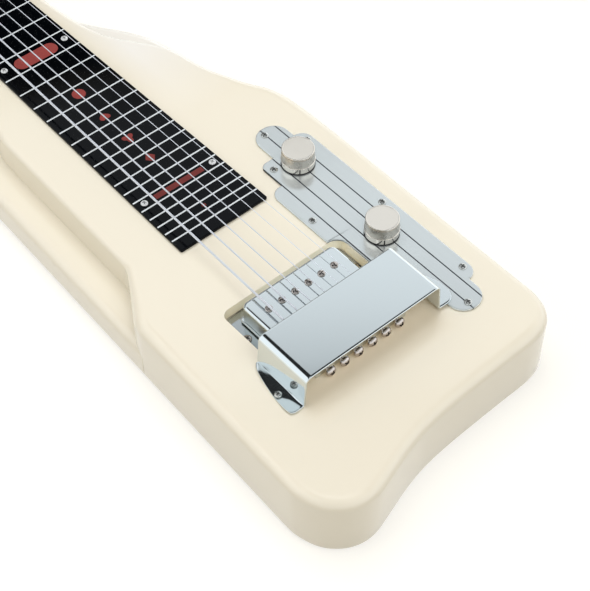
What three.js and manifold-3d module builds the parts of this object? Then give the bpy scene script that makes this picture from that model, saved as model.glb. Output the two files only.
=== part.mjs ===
// Six-string lap steel guitar, in millimetres, +Z up.
// The origin is on the flat back of the body, under the middle of the bridge saddles.
// +X points to the tail of the body, -X to the head, and +Y to the treble side, where the knobs are.
import * as THREE from "three";
import { mergeVertices } from "three/addons/utils/BufferGeometryUtils.js";
import Module from "manifold-3d";

const wasm = await Module();
wasm.setup();

// General clearances
const seatGap = 0.3; // between a piece and what it rests on or fits in
const overrun = 2; // how far a cutter runs past the face that it opens
const weldDistance = 1e-4; // vertices closer than this are one

// Strings and scale
const scaleLength = 571.5; // nut to saddle, 22.5 inches
const stringCount = 6;
const stringHeight = 10.3; // string centre above the body top
const stringPitchAtSaddle = 10.12;
const stringPitchAtNut = 7.16;
const stringDiameters = [1.42, 1.07, 0.81, 0.61, 0.43, 0.38]; // bass side first
const woundStrings = 4; // the thickest ones
const windingTurns = 2;
const windingSpace = 0.6; // between neighbouring turns
const windingBend = 2; // bend radius where the string leaves the winding
const windingTopInset = 3; // from the top of a post to its first turn
const stringSides = 6;
const turnSteps = 24;
const saddleBend = 2.4; // bend radius of a string behind the crest
const ballRadius = 2;
const ballInset = 3.5; // centre of the ball end above the back

// Body
const bodyThickness = 44;
const wingHeight = 22; // the lower step on both sides of the neck
const topFillet = 6.8;
const backFillet = 3;
const trebleHalfWidth = 102;
const wingMergeShare = 0.869; // of the treble half width, where the treble wing joins the top outline
const headThickness = 17;
const headTop = 31; // top face of the head above the back
const headLength = 152; // from the nut's back edge
const headFillet = 2;

// Fretboard and nut
const boardThickness = 1.7;
const neckPastNut = 1.6; // top of the neck behind the nut
const boardEndShare = 0.1825; // place of the board's end, from the saddles, in scale lengths
const boardHalfWidthTail = 32.2;
const boardHalfWidthNut = 23.4;
const nutThickness = 5;
const nutOverhang = 1.6; // nut past the board on each side

// Pickup
const pickupCentre = -34.1;
const pickupLength = 68.4;
const pickupWidth = 30;
const pickupTop = 6.5; // above the body top
const pickupCoverHeight = 9.2;
const pickupCornerRadius = 3.6;
const pickupWall = 0.8;
const poleRow = -36.5;
const polePitch = 9.65;
const poleHeadRadius = 2.3;
const poleHeadHeight = 1.1;
const poleRadius = 1.2;
const poleLength = 17;
const basePlateThickness = 1.1;
const basePlateMargin = 3.2; // past the cover on the two long sides
const basePlateLeg = 8; // width of each leg under the base plate
const magnetHeight = 3.2;
const magnetWidth = 10;
const magnetLength = 58;
const mountingPlateDepth = 7.5; // top of the mounting plate below the body top
const mountingPlateThickness = 1.5;
const routNeckEdge = -54.4;
const routTailEdge = -12;
const routHalfLength = 43.6;
const routCornerRadius = 8;
const routDepth = 16;
const routShelf = 9.5; // length of the shelf at each end of the rout

// Bridge
const bridgePlateThickness = 1.5;
const bridgeNeckEdge = -9;
const bridgeHalfWidth = 33;
const flangeFace = 12.8; // tail face of the upright flange
const flangeThickness = 1.4;
const flangeHeight = 9; // above the body top
const saddleNeckEdge = -4;
const saddleTailEdge = 9;
const saddleWidth = 9.5;
const saddleSlotStart = 0.9;
const saddleSlotEnd = 6.5;
const stringDrop = 3.2; // place where the strings turn down into the body
const intonationHeight = 3.6; // screw axis above the body top
const intonationRadius = 1.5;
const intonationHeadRadius = 3.25;
const intonationHeadStart = 15.5;
const intonationHeadLength = 2.7;
const intonationTip = 6.9;

// Bridge cover
const coverNeckEdge = -16;
const coverTailEdge = 22.7;
const coverTop = 22.5; // above the body top
const coverThickness = 1.2;
const coverHalfWidthTop = 48.8;
const coverHalfWidthFoot = 49.8;
const coverBend = 3;
const footReachBass = 59.2;
const footReachTreble = 62.4;
const footScrewX = 8.2;
const footScrewY = -55.8;
const footScrewRadius = 1.4;
// Outlines of the two feet, as shares of the cover's length and of the foot's reach past the side
const bassFootShares = [
  [0, 0.2],
  [0.2, 0.55],
  [0.6, 0.9],
  [0.9, 1],
  [1, 0.8],
  [1, 0],
];
const trebleFootShares = [
  [1, 0],
  [1, 0.6],
  [0.9, 0.95],
  [0.65, 1],
  [0.2, 0.5],
  [0, 0.2],
];

// Control plate
const controlPlateThickness = 1.2;
const controlCentre = -57.7; // middle of the plate along the body
const plateHalfLength = 92.1;
const plateOuterShare = 0.838; // outer edge from the centreline, of the treble half width
const plateInnerShare = 0.348;
// Steps of the plate's two ends, from the outer edge in: how far each reaches, of the half length,
// where it ends, of the width, and the radii of its two corners, of the width
const plateStepShares = [
  { reach: 0.818, inner: 0.844, outerRadius: 0.152, innerRadius: 0 },
  { reach: 1, inner: 0.406, outerRadius: 0.214, innerRadius: 0.214 },
  { reach: 0.747, inner: 0.19, outerRadius: 0, innerRadius: 0.092 },
  { reach: 0.526, inner: 0, outerRadius: 0, innerRadius: 0.14 },
];
const plateScrewRadius = 1.5;
const plateScrewShares = [
  [-0.941, 0.572],
  [-0.724, 0.914],
  [-0.663, 0.282],
  [-0.166, 0.092],
  [0.004, 0.902],
  [0.724, 0.914],
  [0.946, 0.594],
]; // of the half length, and of the width from the inner edge

// Knobs and potentiometers
const knobPlaces = [-113.6, -40.1];
const knobLineShare = 0.6294; // from the centreline, of the treble half width
const knobRadius = 10.2;
const knobSkirtRadius = 10.6;
const knobSkirtHeight = 4.5;
const knobHeight = 12.3;
const knobEdge = 1.1;
const knobHollowRadius = 7.8;
const knobHollowHeight = 4;
const knobClearance = 0.5; // under the skirt
const shaftRadius = 3;
const shaftTopInset = 4.5; // below the top of the knob
const potHeight = 9.5;
const bushingRadius = 4.6;
const bushingHeight = 3.6; // above the control plate
const potNutRadius = 6.6;
const potNutHeight = 2.2;
const potFloor = 2.5; // wall under the shaft

// Control cavity and output jack
const cavityNeckEdge = -128;
const cavityTailEdge = -25;
const cavityInnerShare = 0.502; // of the treble half width
const cavityOuterShare = 0.757;
const cavityMargin = 1; // round the potentiometers
const cavityDepth = 32;
const channelRadius = 4;
const capacitorRadius = 3;
const capacitorLength = 12;
const jackPlace = -76.3;
const jackHeight = 22;
const jackPlateLength = 40;
const jackPlateHeight = 26;
const jackPlateThickness = 1.5;
const jackBodyRadius = 8;
const jackBodyLength = 20;
const jackBushingRadius = 4.7;
const jackBushingReach = 4; // past the outer face of the plate
const jackSocketRadius = 3.2;
const jackSocketFloor = 2;
const jackBoreRadius = 10.5;

// Tuners
const postPitchShare = 0.25; // of the head's length
const firstPostShare = 0.1776; // from the nut's back edge to the first pair of posts
const postLine = 20; // posts from the centreline
const postRadius = 3;
const postTop = 47; // above the back
const postCollarTop = 36.4;
const postCollarRadius = 5.4;
const gearRadius = 6;
const gearTeeth = 14;
const gearToothDepth = 1.1;
const gearHeight = 4;
const gearHubHeight = 1.4;
const gearHubRadius = 2.4;
const wormRadius = 2.2;
const wormLength = 6.4;
const wormGap = 0.4;
const tunerPlateThickness = 1.2;
const tunerPlateHalfWidth = 11.6;
const tunerPlateMargin = 12; // plate past the end posts
const tunerPlateCorner = 3;
const earThickness = 1.5;
const earHalfWidth = 3;
const shaftThinRadius = 1.4;
const buttonReach = 47.5; // inner end of a button from the centreline
const buttonLength = 10;
const buttonHalfHeight = 5.2;
const buttonHalfWidth = 7.4;

// Levels above the back that several pieces share
const stringLevel = bodyThickness + stringHeight;
const nutFace = -scaleLength;
const nutBack = nutFace - nutThickness;
const boardEnd = -scaleLength * boardEndShare;
const plateTop = bodyThickness + seatGap + controlPlateThickness;
const headBottom = headTop - headThickness;

// Places that follow from the width of the body and the length of the head
const plateOuterEdge = trebleHalfWidth * plateOuterShare;
const plateInnerEdge = trebleHalfWidth * plateInnerShare;
const plateWidth = plateOuterEdge - plateInnerEdge;
const knobLine = trebleHalfWidth * knobLineShare;
const cavityInnerEdge = trebleHalfWidth * cavityInnerShare;
const cavityOuterEdge = trebleHalfWidth * cavityOuterShare;
const potRadius = (cavityOuterEdge - cavityInnerEdge) / 2 - cavityMargin;
const postPitch = headLength * postPitchShare;
const firstPost = headLength * firstPostShare;

// Outline points of the body, as shares of the scale length and of the treble half width
const trebleTopShares = [
  [-1.0, 0.31],
  [-0.72, 0.35],
  [-0.6, 0.372],
  [-0.545, 0.4],
  [-0.51, 0.44],
  [-0.488, 0.495],
  [-0.465, 0.58],
  [-0.441, 0.672],
  [-0.42, 0.713],
  [-0.396, 0.735],
  [-0.372, 0.77],
  [-0.348, 0.832],
  [-0.33, 0.888],
  [-0.312, 0.945],
  [-0.289, 0.98],
  [-0.262, 0.993],
  [-0.21, 1.0],
];
const trebleWingShares = [
  [-1.0, 0.375],
  [-0.75, 0.425],
  [-0.62, 0.485],
  [-0.583, 0.53],
  [-0.556, 0.612],
  [-0.53, 0.712],
  [-0.504, 0.792],
  [-0.48, 0.834],
  [-0.448, 0.857],
];
const bassTopShares = [
  [-1.0, -0.31],
  [-0.72, -0.35],
  [-0.6, -0.372],
  [-0.545, -0.395],
  [-0.51, -0.425],
  [-0.488, -0.47],
  [-0.465, -0.525],
  [-0.441, -0.56],
  [-0.415, -0.572],
];
const bassShoulderShares = [
  [-0.206, -0.606],
  [-0.182, -0.685],
  [-0.148, -0.805],
];
const bassWingShares = [
  [-1.0, -0.375],
  [-0.75, -0.425],
  [-0.62, -0.485],
  [-0.583, -0.53],
  [-0.556, -0.6],
  [-0.53, -0.68],
  [-0.504, -0.735],
  [-0.475, -0.762],
];
const bassSideShares = [
  [-0.4, -0.771],
  [-0.135, -0.823],
  [0.085, -0.866],
];
const tailShares = [
  [0.105, -0.862],
  [0.128, -0.817],
  [0.1435, -0.735],
  [0.151, -0.64],
  [0.1515, -0.54],
  [0.145, -0.41],
  [0.136, -0.25],
  [0.129, -0.08],
  [0.1255, 0.12],
  [0.124, 0.34],
  [0.123, 0.56],
  [0.122, 0.76],
  [0.116, 0.885],
  [0.102, 0.965],
  [0.08, 1.0],
];
const headShares = [
  [0.0, 0.93],
  [0.06, 0.93],
  [0.16, 1.08],
  [0.3, 1.13],
  [0.86, 1.2],
  [0.95, 1.1],
  [1.0, 0.85],
]; // of the head's length, and of the neck's half width at the nut
const neckHalfWidthAtNut = 31.6;

// Solids

// A closed geometry as a manifold solid, with its faces pointing out.
function solidOf(geometry) {
  const bare = new THREE.BufferGeometry();
  bare.setAttribute("position", geometry.getAttribute("position"));
  if (geometry.index) bare.setIndex(geometry.index);
  const merged = mergeVertices(bare, weldDistance);
  const corners = new Uint32Array(merged.index.array);
  const make = () =>
    new wasm.Manifold(
      new wasm.Mesh({
        numProp: 3,
        vertProperties: merged.attributes.position.array,
        triVerts: corners,
      }),
    );
  const solid = make();
  if (solid.volume() >= 0) return solid;
  for (let i = 0; i < corners.length; i += 3) {
    [corners[i + 1], corners[i + 2]] = [corners[i + 2], corners[i + 1]];
  }
  return make();
}

// The solid as a geometry for a mesh.
function geometryOf(solid) {
  const mesh = solid.getMesh();
  const geometry = new THREE.BufferGeometry();
  geometry.setAttribute("position", new THREE.BufferAttribute(mesh.vertProperties, mesh.numProp));
  geometry.setIndex(new THREE.BufferAttribute(mesh.triVerts, 1));
  const flat = geometry.toNonIndexed();
  flat.computeVertexNormals();
  return flat;
}

function block(low, high) {
  const size = high.map((value, axis) => value - low[axis]);
  const geometry = new THREE.BoxGeometry(...size);
  geometry.translate(...low.map((value, axis) => value + size[axis] / 2));
  return solidOf(geometry);
}

// A flat outline, with holes, raised from one height to another.
function slab(points, bottom, top, holes = []) {
  const shape = new THREE.Shape(points);
  shape.holes = holes.map((hole) => new THREE.Path(hole));
  const geometry = new THREE.ExtrudeGeometry(shape, { depth: top - bottom, bevelEnabled: false });
  geometry.translate(0, 0, bottom);
  return solidOf(geometry);
}

// An outline drawn in by one distance, along the mean of its neighbouring sides' normals.
function drawnIn(points, distance) {
  return points.map((point, i) => {
    const before = points.at(i - 1);
    const after = points[(i + 1) % points.length];
    const first = point.clone().sub(before).normalize();
    const second = after.clone().sub(point).normalize();
    const normal = new THREE.Vector2(first.y + second.y, -first.x - second.x);
    return point.clone().addScaledVector(normal, -distance / (1 + first.dot(second)));
  });
}

// A slab whose bottom and top edges are rounded, each with its own radius.
function filletedSlab(points, bottom, top, bottomRadius, topRadius, steps) {
  const rings = [];
  const addRing = (radius, angle, height) => {
    const ring = drawnIn(points, radius * (1 - Math.sin(angle)));
    rings.push(ring.map(({ x, y }) => [x, y, height]));
  };
  for (let step = 0; step <= steps; step++) {
    const angle = ((Math.PI / 2) * step) / steps;
    const height = bottom + bottomRadius * (1 - Math.cos(angle));
    if (bottomRadius || step === steps) addRing(bottomRadius, angle, height);
  }
  for (let step = steps; step >= 0; step--) {
    const angle = ((Math.PI / 2) * step) / steps;
    addRing(topRadius, angle, top - topRadius * (1 - Math.cos(angle)));
  }
  const count = points.length;
  const corners = [];
  for (let ring = 0; ring < rings.length - 1; ring++) {
    for (let i = 0; i < count; i++) {
      const here = ring * count + i;
      const next = ring * count + ((i + 1) % count);
      corners.push(here, next, here + count, next, next + count, here + count);
    }
  }
  const last = (rings.length - 1) * count;
  for (const [i, j, k] of THREE.ShapeUtils.triangulateShape(drawnIn(points, topRadius), [])) {
    corners.push(last + i, last + j, last + k);
  }
  for (const [i, j, k] of THREE.ShapeUtils.triangulateShape(drawnIn(points, bottomRadius), [])) {
    corners.push(i, k, j);
  }
  const geometry = new THREE.BufferGeometry();
  geometry.setAttribute("position", new THREE.Float32BufferAttribute(rings.flat(2), 3));
  geometry.setIndex(corners);
  return solidOf(geometry);
}

function turnTo(geometry, axis) {
  if (axis === "x") geometry.rotateZ(-Math.PI / 2);
  if (axis === "z") geometry.rotateX(Math.PI / 2);
  return geometry;
}

// A round rod along an axis, from its start point over a length.
function rod(axis, start, length, radius, sides = 24) {
  const geometry = new THREE.CylinderGeometry(radius, radius, length, sides);
  geometry.translate(0, length / 2, 0);
  turnTo(geometry, axis);
  geometry.translate(...start);
  return solidOf(geometry);
}

// A turned profile of [radius, height] points round an axis.
function turned(axis, start, profile, sides = 24) {
  const points = profile.map(([radius, height]) => new THREE.Vector2(radius, height));
  const geometry = new THREE.LatheGeometry(points, sides);
  turnTo(geometry, axis);
  geometry.translate(...start);
  return solidOf(geometry);
}

function rectangle(x0, x1, y0, y1, radius = 0, steps = 4) {
  if (!radius) return [[x0, y0], [x1, y0], [x1, y1], [x0, y1]].map(([x, y]) => new THREE.Vector2(x, y));
  const corners = [
    [x1 - radius, y0 + radius, -Math.PI / 2],
    [x1 - radius, y1 - radius, 0],
    [x0 + radius, y1 - radius, Math.PI / 2],
    [x0 + radius, y0 + radius, Math.PI],
  ];
  return corners.flatMap(([x, y, start]) => arc(x, y, radius, start, start + Math.PI / 2, steps));
}

function arc(x, y, radius, start, end, steps) {
  return Array.from({ length: steps + 1 }, (_, step) => {
    const angle = start + ((end - start) * step) / steps;
    return new THREE.Vector2(x + radius * Math.cos(angle), y + radius * Math.sin(angle));
  });
}

function circle(x, y, radius, sides = 16) {
  return arc(x, y, radius, 0, 2 * Math.PI * (1 - 1 / sides), sides - 1);
}

function spline(points, steps) {
  return new THREE.SplineCurve(points).getPoints(steps);
}

function outlinePoints(shares, along = scaleLength, across = trebleHalfWidth) {
  return shares.map(([x, y]) => new THREE.Vector2(x * along, y * across));
}

// A tube of one thickness along points, closed with flat ends.
function tube(points, radius, sides) {
  const vertices = [];
  let side = new THREE.Vector3(0, 1, 0);
  points.forEach((point, i) => {
    const before = points[Math.max(i - 1, 0)];
    const after = points[Math.min(i + 1, points.length - 1)];
    const along = after.clone().sub(before).normalize();
    side = side.clone().addScaledVector(along, -side.dot(along)).normalize();
    const up = along.clone().cross(side);
    for (let s = 0; s < sides; s++) {
      const angle = (2 * Math.PI * s) / sides;
      const vertex = point.clone();
      vertex.addScaledVector(side, radius * Math.cos(angle));
      vertex.addScaledVector(up, radius * Math.sin(angle));
      vertices.push(...vertex.toArray());
    }
  });
  const corners = [];
  for (let i = 0; i < points.length - 1; i++) {
    for (let s = 0; s < sides; s++) {
      const here = i * sides + s;
      const next = i * sides + ((s + 1) % sides);
      corners.push(here, next, here + sides, next, next + sides, here + sides);
    }
  }
  const last = (points.length - 1) * sides;
  for (let s = 1; s < sides - 1; s++) {
    corners.push(0, s + 1, s);
    corners.push(last, last + s, last + s + 1);
  }
  const geometry = new THREE.BufferGeometry();
  geometry.setAttribute("position", new THREE.Float32BufferAttribute(vertices, 3));
  geometry.setIndex(corners);
  return solidOf(geometry);
}

// Materials

function material(color, roughness, metalness) {
  return new THREE.MeshStandardMaterial({ color, roughness, metalness });
}

const cream = material(0xf0e6d2, 0.25, 0);
const boardBlack = material(0x14181c, 0.3, 0);
const chrome = material(0xc8d3d8, 0.15, 1);
const nickel = material(0xcfc8bf, 0.3, 1);
const steel = material(0xb8bcc0, 0.35, 1);
const brass = material(0xb59a5a, 0.4, 1);
const darkWinding = material(0x2a1c14, 0.6, 0);
const magnetGrey = material(0x55575a, 0.5, 0.6);
const nutWhite = material(0xe8e4da, 0.4, 0);
const buttonCream = material(0xece3cc, 0.3, 0);
const capacitorBrown = material(0x8a4a2a, 0.4, 0);

const guitar = new THREE.Group();

function add(name, solid, finish, place = [0, 0, 0]) {
  const mesh = new THREE.Mesh(geometryOf(solid), finish.clone());
  mesh.name = name;
  mesh.position.set(...place);
  guitar.add(mesh);
}

// Places of the strings, numbered from the treble side as players do
const strings = stringDiameters.map((diameter, row) => {
  const offset = row - (stringCount - 1) / 2;
  return {
    number: stringCount - row,
    radius: diameter / 2,
    finish: row < woundStrings ? nickel : steel,
    atSaddle: offset * stringPitchAtSaddle,
    atNut: offset * stringPitchAtNut,
    side: Math.sign(offset),
    postRow: Math.floor((stringCount - 1) / 2 - Math.abs(offset) + 0.5),
  };
});

function postPlace(string) {
  return [nutBack - firstPost - string.postRow * postPitch, string.side * postLine];
}

// Body

function bodyOutline(bassPoints, treblePoints) {
  const tail = spline(outlinePoints([bassSideShares.at(-1), ...tailShares]), 36);
  return [...bassPoints, ...tail, ...treblePoints];
}

function upperOutline() {
  const bass = [
    ...spline(outlinePoints(bassTopShares), 20),
    ...outlinePoints(bassShoulderShares),
    ...outlinePoints(bassSideShares.slice(1, 2)),
  ];
  const treble = spline(outlinePoints(trebleTopShares), 28).reverse();
  return bodyOutline(bass, treble);
}

function lowerOutline() {
  const bassWing = spline(outlinePoints(bassWingShares), 18);
  const bass = [...bassWing, ...outlinePoints(bassSideShares.slice(0, 2))];
  const merge = trebleTopShares.findIndex(([, y]) => y > wingMergeShare);
  const shared = spline(outlinePoints(trebleTopShares), 28).filter(
    (point) => point.x >= trebleTopShares[merge][0] * scaleLength,
  );
  const wing = spline(outlinePoints(trebleWingShares), 18);
  return bodyOutline(bass, [...wing, ...shared].reverse());
}

function headOutline() {
  const points = headShares.map(
    ([along, across]) => new THREE.Vector2(nutBack - along * headLength, across * neckHalfWidthAtNut),
  );
  const treble = spline(points, 20);
  const bass = treble.map((point) => new THREE.Vector2(point.x, -point.y)).reverse();
  const root = new THREE.Vector2(nutFace + nutThickness, headShares[0][1] * neckHalfWidthAtNut);
  return [...treble, ...bass, new THREE.Vector2(root.x, -root.y), root];
}

function neckExtension(halfWidth, bottom, top) {
  return block([nutBack - neckPastNut, -halfWidth, bottom], [nutFace + nutThickness, halfWidth, top]);
}

function bodySolid() {
  const neckHalfWidth = -bassTopShares[0][1] * trebleHalfWidth;
  const upperBottom = wingHeight - 2 * topFillet;
  let body = filletedSlab(upperOutline(), upperBottom, bodyThickness, 0, topFillet, 3);
  body = body.add(filletedSlab(lowerOutline(), 0, wingHeight, backFillet, topFillet, 2));
  body = body.add(neckExtension(neckHalfWidth - topFillet / 2, headBottom, bodyThickness));
  body = body.add(filletedSlab(headOutline(), headBottom, headTop, headFillet, headFillet, 2));
  return body.subtract(bodyCuts());
}

function bodyCuts() {
  const routFloor = bodyThickness - routDepth;
  const shelfLevel = bodyThickness - mountingPlateDepth - mountingPlateThickness - seatGap;
  const routEdges = [routNeckEdge, routTailEdge, -routHalfLength, routHalfLength, routCornerRadius];
  let cuts = slab(rectangle(...routEdges), shelfLevel, bodyThickness + overrun);
  const pitHalf = routHalfLength - routShelf;
  const pit = rectangle(routNeckEdge, routTailEdge, -pitHalf, pitHalf, routCornerRadius / 2);
  cuts = cuts.add(slab(pit, routFloor, bodyThickness));
  const cavityEdges = [cavityNeckEdge, cavityTailEdge, cavityInnerEdge, cavityOuterEdge];
  const cavity = rectangle(...cavityEdges, routCornerRadius);
  cuts = cuts.add(slab(cavity, bodyThickness - cavityDepth, bodyThickness + overrun));
  const channelStart = [poleRow, pitHalf - overrun, routFloor + channelRadius];
  cuts = cuts.add(rod("y", channelStart, cavityInnerEdge - pitHalf + 2 * overrun, channelRadius, 12));
  const jackStart = [jackPlace, cavityOuterEdge - overrun, jackHeight];
  cuts = cuts.add(rod("y", jackStart, trebleHalfWidth - cavityOuterEdge + 2 * overrun, jackBoreRadius, 24));
  for (const string of strings) {
    const bore = string.radius + 2 * seatGap;
    cuts = cuts.add(rod("z", [stringDrop, string.atSaddle, -overrun], bodyThickness + 2 * overrun, bore, 8));
    const ballBore = ballRadius + seatGap;
    const ballTop = ballInset + ballRadius + seatGap;
    cuts = cuts.add(rod("z", [stringDrop, string.atSaddle, -overrun], ballTop + overrun, ballBore, 8));
    const [x, y] = postPlace(string);
    const postStart = [x, y, headBottom - overrun];
    cuts = cuts.add(rod("z", postStart, headThickness + 2 * overrun, postRadius + seatGap, 12));
  }
  return cuts;
}

add("body", bodySolid(), cream);

// Fretboard and nut

function boardHalfWidth(x) {
  const share = (x - nutFace) / (boardEnd - nutFace);
  return boardHalfWidthNut + (boardHalfWidthTail - boardHalfWidthNut) * share;
}

const boardTop = bodyThickness + seatGap + boardThickness;

function boardSolid() {
  const start = nutFace + seatGap;
  const corners = [
    [start, -boardHalfWidth(start)],
    [boardEnd, -boardHalfWidth(boardEnd)],
    [boardEnd, boardHalfWidth(boardEnd)],
    [start, boardHalfWidth(start)],
  ];
  const outline = corners.map(([x, y]) => new THREE.Vector2(x, y));
  return slab(outline, bodyThickness + seatGap, boardTop);
}

function nutSolid() {
  const halfWidth = boardHalfWidthNut + nutOverhang;
  let nut = block([nutBack, -halfWidth, bodyThickness + seatGap], [nutFace, halfWidth, stringLevel]);
  for (const string of strings) {
    const reach = string.radius + seatGap;
    const low = [nutBack - overrun, string.atNut - reach, stringLevel - reach];
    nut = nut.subtract(block(low, [nutFace + overrun, string.atNut + reach, stringLevel + overrun]));
  }
  return nut;
}

add("fretboard", boardSolid(), boardBlack);
add("nut", nutSolid(), nutWhite);

// Strings

function bendPoints(centre, from, to, radius, steps) {
  return Array.from({ length: steps + 1 }, (_, step) => {
    const angle = (Math.PI / 2) * (step / steps);
    return centre
      .clone()
      .addScaledVector(from, radius * Math.cos(angle))
      .addScaledVector(to, radius * Math.sin(angle));
  });
}

function stringPath(string) {
  const up = new THREE.Vector3(0, 0, 1);
  const tail = new THREE.Vector3(1, 0, 0);
  const bendCentre = new THREE.Vector3(stringDrop - saddleBend, string.atSaddle, stringLevel - saddleBend);
  const path = [new THREE.Vector3(stringDrop, string.atSaddle, ballInset)];
  path.push(...bendPoints(bendCentre, tail, up, saddleBend, 6));
  path.push(new THREE.Vector3(nutFace, string.atNut, stringLevel));
  path.push(new THREE.Vector3(nutBack - seatGap, string.atNut, stringLevel));
  path.push(...windingPath(string));
  return path;
}

// The turns round the post, then a bend down to the post's collar.
function windingPath(string) {
  const [x, y] = postPlace(string);
  const reach = postRadius + seatGap + string.radius;
  const pitch = 2 * string.radius + windingSpace;
  const steps = windingTurns * turnSteps;
  const path = [];
  for (let step = 0; step <= steps; step++) {
    const turn = (2 * Math.PI * step) / turnSteps;
    const across = string.side * reach * Math.cos(turn);
    const height = postTop - windingTopInset - (pitch * step) / turnSteps;
    path.push(new THREE.Vector3(x - reach * Math.sin(turn), y - across, height));
  }
  const end = path.at(-1);
  const along = new THREE.Vector3(-1, 0, 0);
  const down = new THREE.Vector3(0, 0, -1);
  for (let step = 1; step <= 5; step++) {
    const angle = (Math.PI / 2) * (step / 5);
    const point = end.clone().addScaledVector(along, windingBend * Math.sin(angle));
    path.push(point.addScaledVector(down, windingBend * (1 - Math.cos(angle))));
  }
  const foot = path.at(-1).clone();
  foot.z = postCollarTop + seatGap;
  path.push(foot);
  return path;
}

// The least gap between turns: points at least half a turn apart along the path.
function leastGap(path, radius) {
  let least = Infinity;
  for (let i = 0; i < path.length; i++) {
    for (let j = i + turnSteps / 2; j < path.length; j++) {
      least = Math.min(least, path[i].distanceTo(path[j]) - 2 * radius);
    }
  }
  return least;
}

for (const string of strings) {
  const gap = leastGap(windingPath(string), string.radius);
  console.log("string", string.number, "least gap to itself", gap.toFixed(2));
  const ballStart = [stringDrop, string.atSaddle, ballInset - ballRadius];
  const ball = rod("z", ballStart, 2 * ballRadius, ballRadius, 8);
  const wire = tube(stringPath(string), string.radius, stringSides);
  add("string_" + string.number, wire.add(ball), string.finish);
}

// Tuners

const tunerPlateTop = headBottom - seatGap;
const gearTop = tunerPlateTop - tunerPlateThickness - seatGap;
const wormLevel = gearTop - gearHeight / 2;
const wormOffset = gearRadius + wormRadius + wormGap;

function postSolid() {
  const teeth = Array.from({ length: 2 * gearTeeth }, (_, i) => {
    const angle = (Math.PI * i) / gearTeeth;
    const radius = i % 2 ? gearRadius - gearToothDepth : gearRadius;
    return new THREE.Vector2(radius * Math.cos(angle), radius * Math.sin(angle));
  });
  const gear = slab(teeth, gearTop - gearHeight, gearTop);
  const collarBottom = headTop + seatGap;
  const hubBottom = gearTop - gearHeight - gearHubHeight;
  const profile = [
    [0, hubBottom],
    [gearHubRadius, hubBottom],
    [gearHubRadius, gearTop - gearHeight / 2],
    [postRadius, gearTop - gearHeight / 2],
    [postRadius, collarBottom],
    [postCollarRadius, collarBottom],
    [postCollarRadius, postCollarTop],
    [postRadius, postCollarTop],
    [postRadius, postTop - windingTopInset / 4],
    [postRadius - windingTopInset / 4, postTop],
    [0, postTop],
  ];
  return gear.add(turned("z", [0, 0, 0], profile, 12));
}

// Worm, shaft and button, along +Y from the middle of the worm.
function buttonSolid() {
  const shaftStart = -wormLength / 2 - 2 * earThickness;
  const reach = buttonReach - postLine;
  const shaft = rod("y", [0, shaftStart, 0], reach + buttonLength / 2 - shaftStart, shaftThinRadius, 8);
  const worm = rod("y", [0, -wormLength / 2, 0], wormLength, wormRadius, 10);
  const oval = Array.from({ length: 16 }, (_, i) => {
    const angle = (2 * Math.PI * i) / 16;
    return new THREE.Vector2(buttonHalfWidth * Math.cos(angle), buttonHalfHeight * Math.sin(angle));
  });
  const shape = new THREE.Shape(oval);
  const geometry = new THREE.ExtrudeGeometry(shape, { depth: buttonLength, bevelEnabled: false });
  geometry.rotateX(-Math.PI / 2);
  geometry.translate(0, reach, 0);
  return shaft.add(worm).add(solidOf(geometry));
}

function tunerPlateSolid(side) {
  const posts = strings.filter((string) => string.side === side).map(postPlace);
  const places = posts.map(([x]) => x);
  const nearest = Math.max(...places) + tunerPlateMargin + wormRadius;
  const furthest = Math.min(...places) - tunerPlateMargin;
  const centre = side * postLine;
  const edges = [furthest, nearest, centre - tunerPlateHalfWidth, centre + tunerPlateHalfWidth];
  const outline = rectangle(...edges, tunerPlateCorner);
  const holes = posts.map(([x, y]) => circle(x, y, postRadius + seatGap, 12));
  let plate = slab(outline, tunerPlateTop - tunerPlateThickness, tunerPlateTop, holes);
  const earBottom = wormLevel - earHalfWidth;
  const earTop = tunerPlateTop - tunerPlateThickness / 2;
  for (const [x, y] of posts) {
    for (const end of [-1, 1]) {
      const inner = y + end * (wormLength / 2 + seatGap);
      const outer = inner + end * earThickness;
      const low = [x + wormOffset - earHalfWidth, Math.min(inner, outer), earBottom];
      const high = [x + wormOffset + earHalfWidth, Math.max(inner, outer), earTop];
      plate = plate.add(block(low, high));
      const start = [x + wormOffset, low[1] - seatGap, wormLevel];
      plate = plate.subtract(rod("y", start, earThickness + 2 * seatGap, shaftThinRadius + seatGap, 8));
    }
  }
  return plate;
}

add("tuner_plate_bass", tunerPlateSolid(-1), nickel);
add("tuner_plate_treble", tunerPlateSolid(1), nickel);

for (const string of strings) {
  const [x, y] = postPlace(string);
  add("tuner_post_" + string.number, postSolid(), nickel, [x, y, 0]);
  const button = buttonSolid();
  const turnedButton = string.side > 0 ? button : button.rotate([0, 0, 180]);
  add("tuner_button_" + string.number, turnedButton, buttonCream, [x + wormOffset, y, wormLevel]);
}

// Pickup

const coverInnerTop = bodyThickness + pickupTop - pickupWall;
const coverBottom = bodyThickness + pickupTop - pickupCoverHeight;
const basePlateTop = coverBottom - seatGap;
const poles = strings.map((string) => ({
  number: string.number,
  y: (string.atSaddle / stringPitchAtSaddle) * polePitch,
}));

function pickupRectangle(inset, radius) {
  const halfWidth = pickupWidth / 2 - inset;
  const halfLength = pickupLength / 2 - inset;
  return rectangle(pickupCentre - halfWidth, pickupCentre + halfWidth, -halfLength, halfLength, radius);
}

function poleHoles(radius) {
  return poles.map((pole) => circle(poleRow, pole.y, radius, 8));
}

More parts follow.
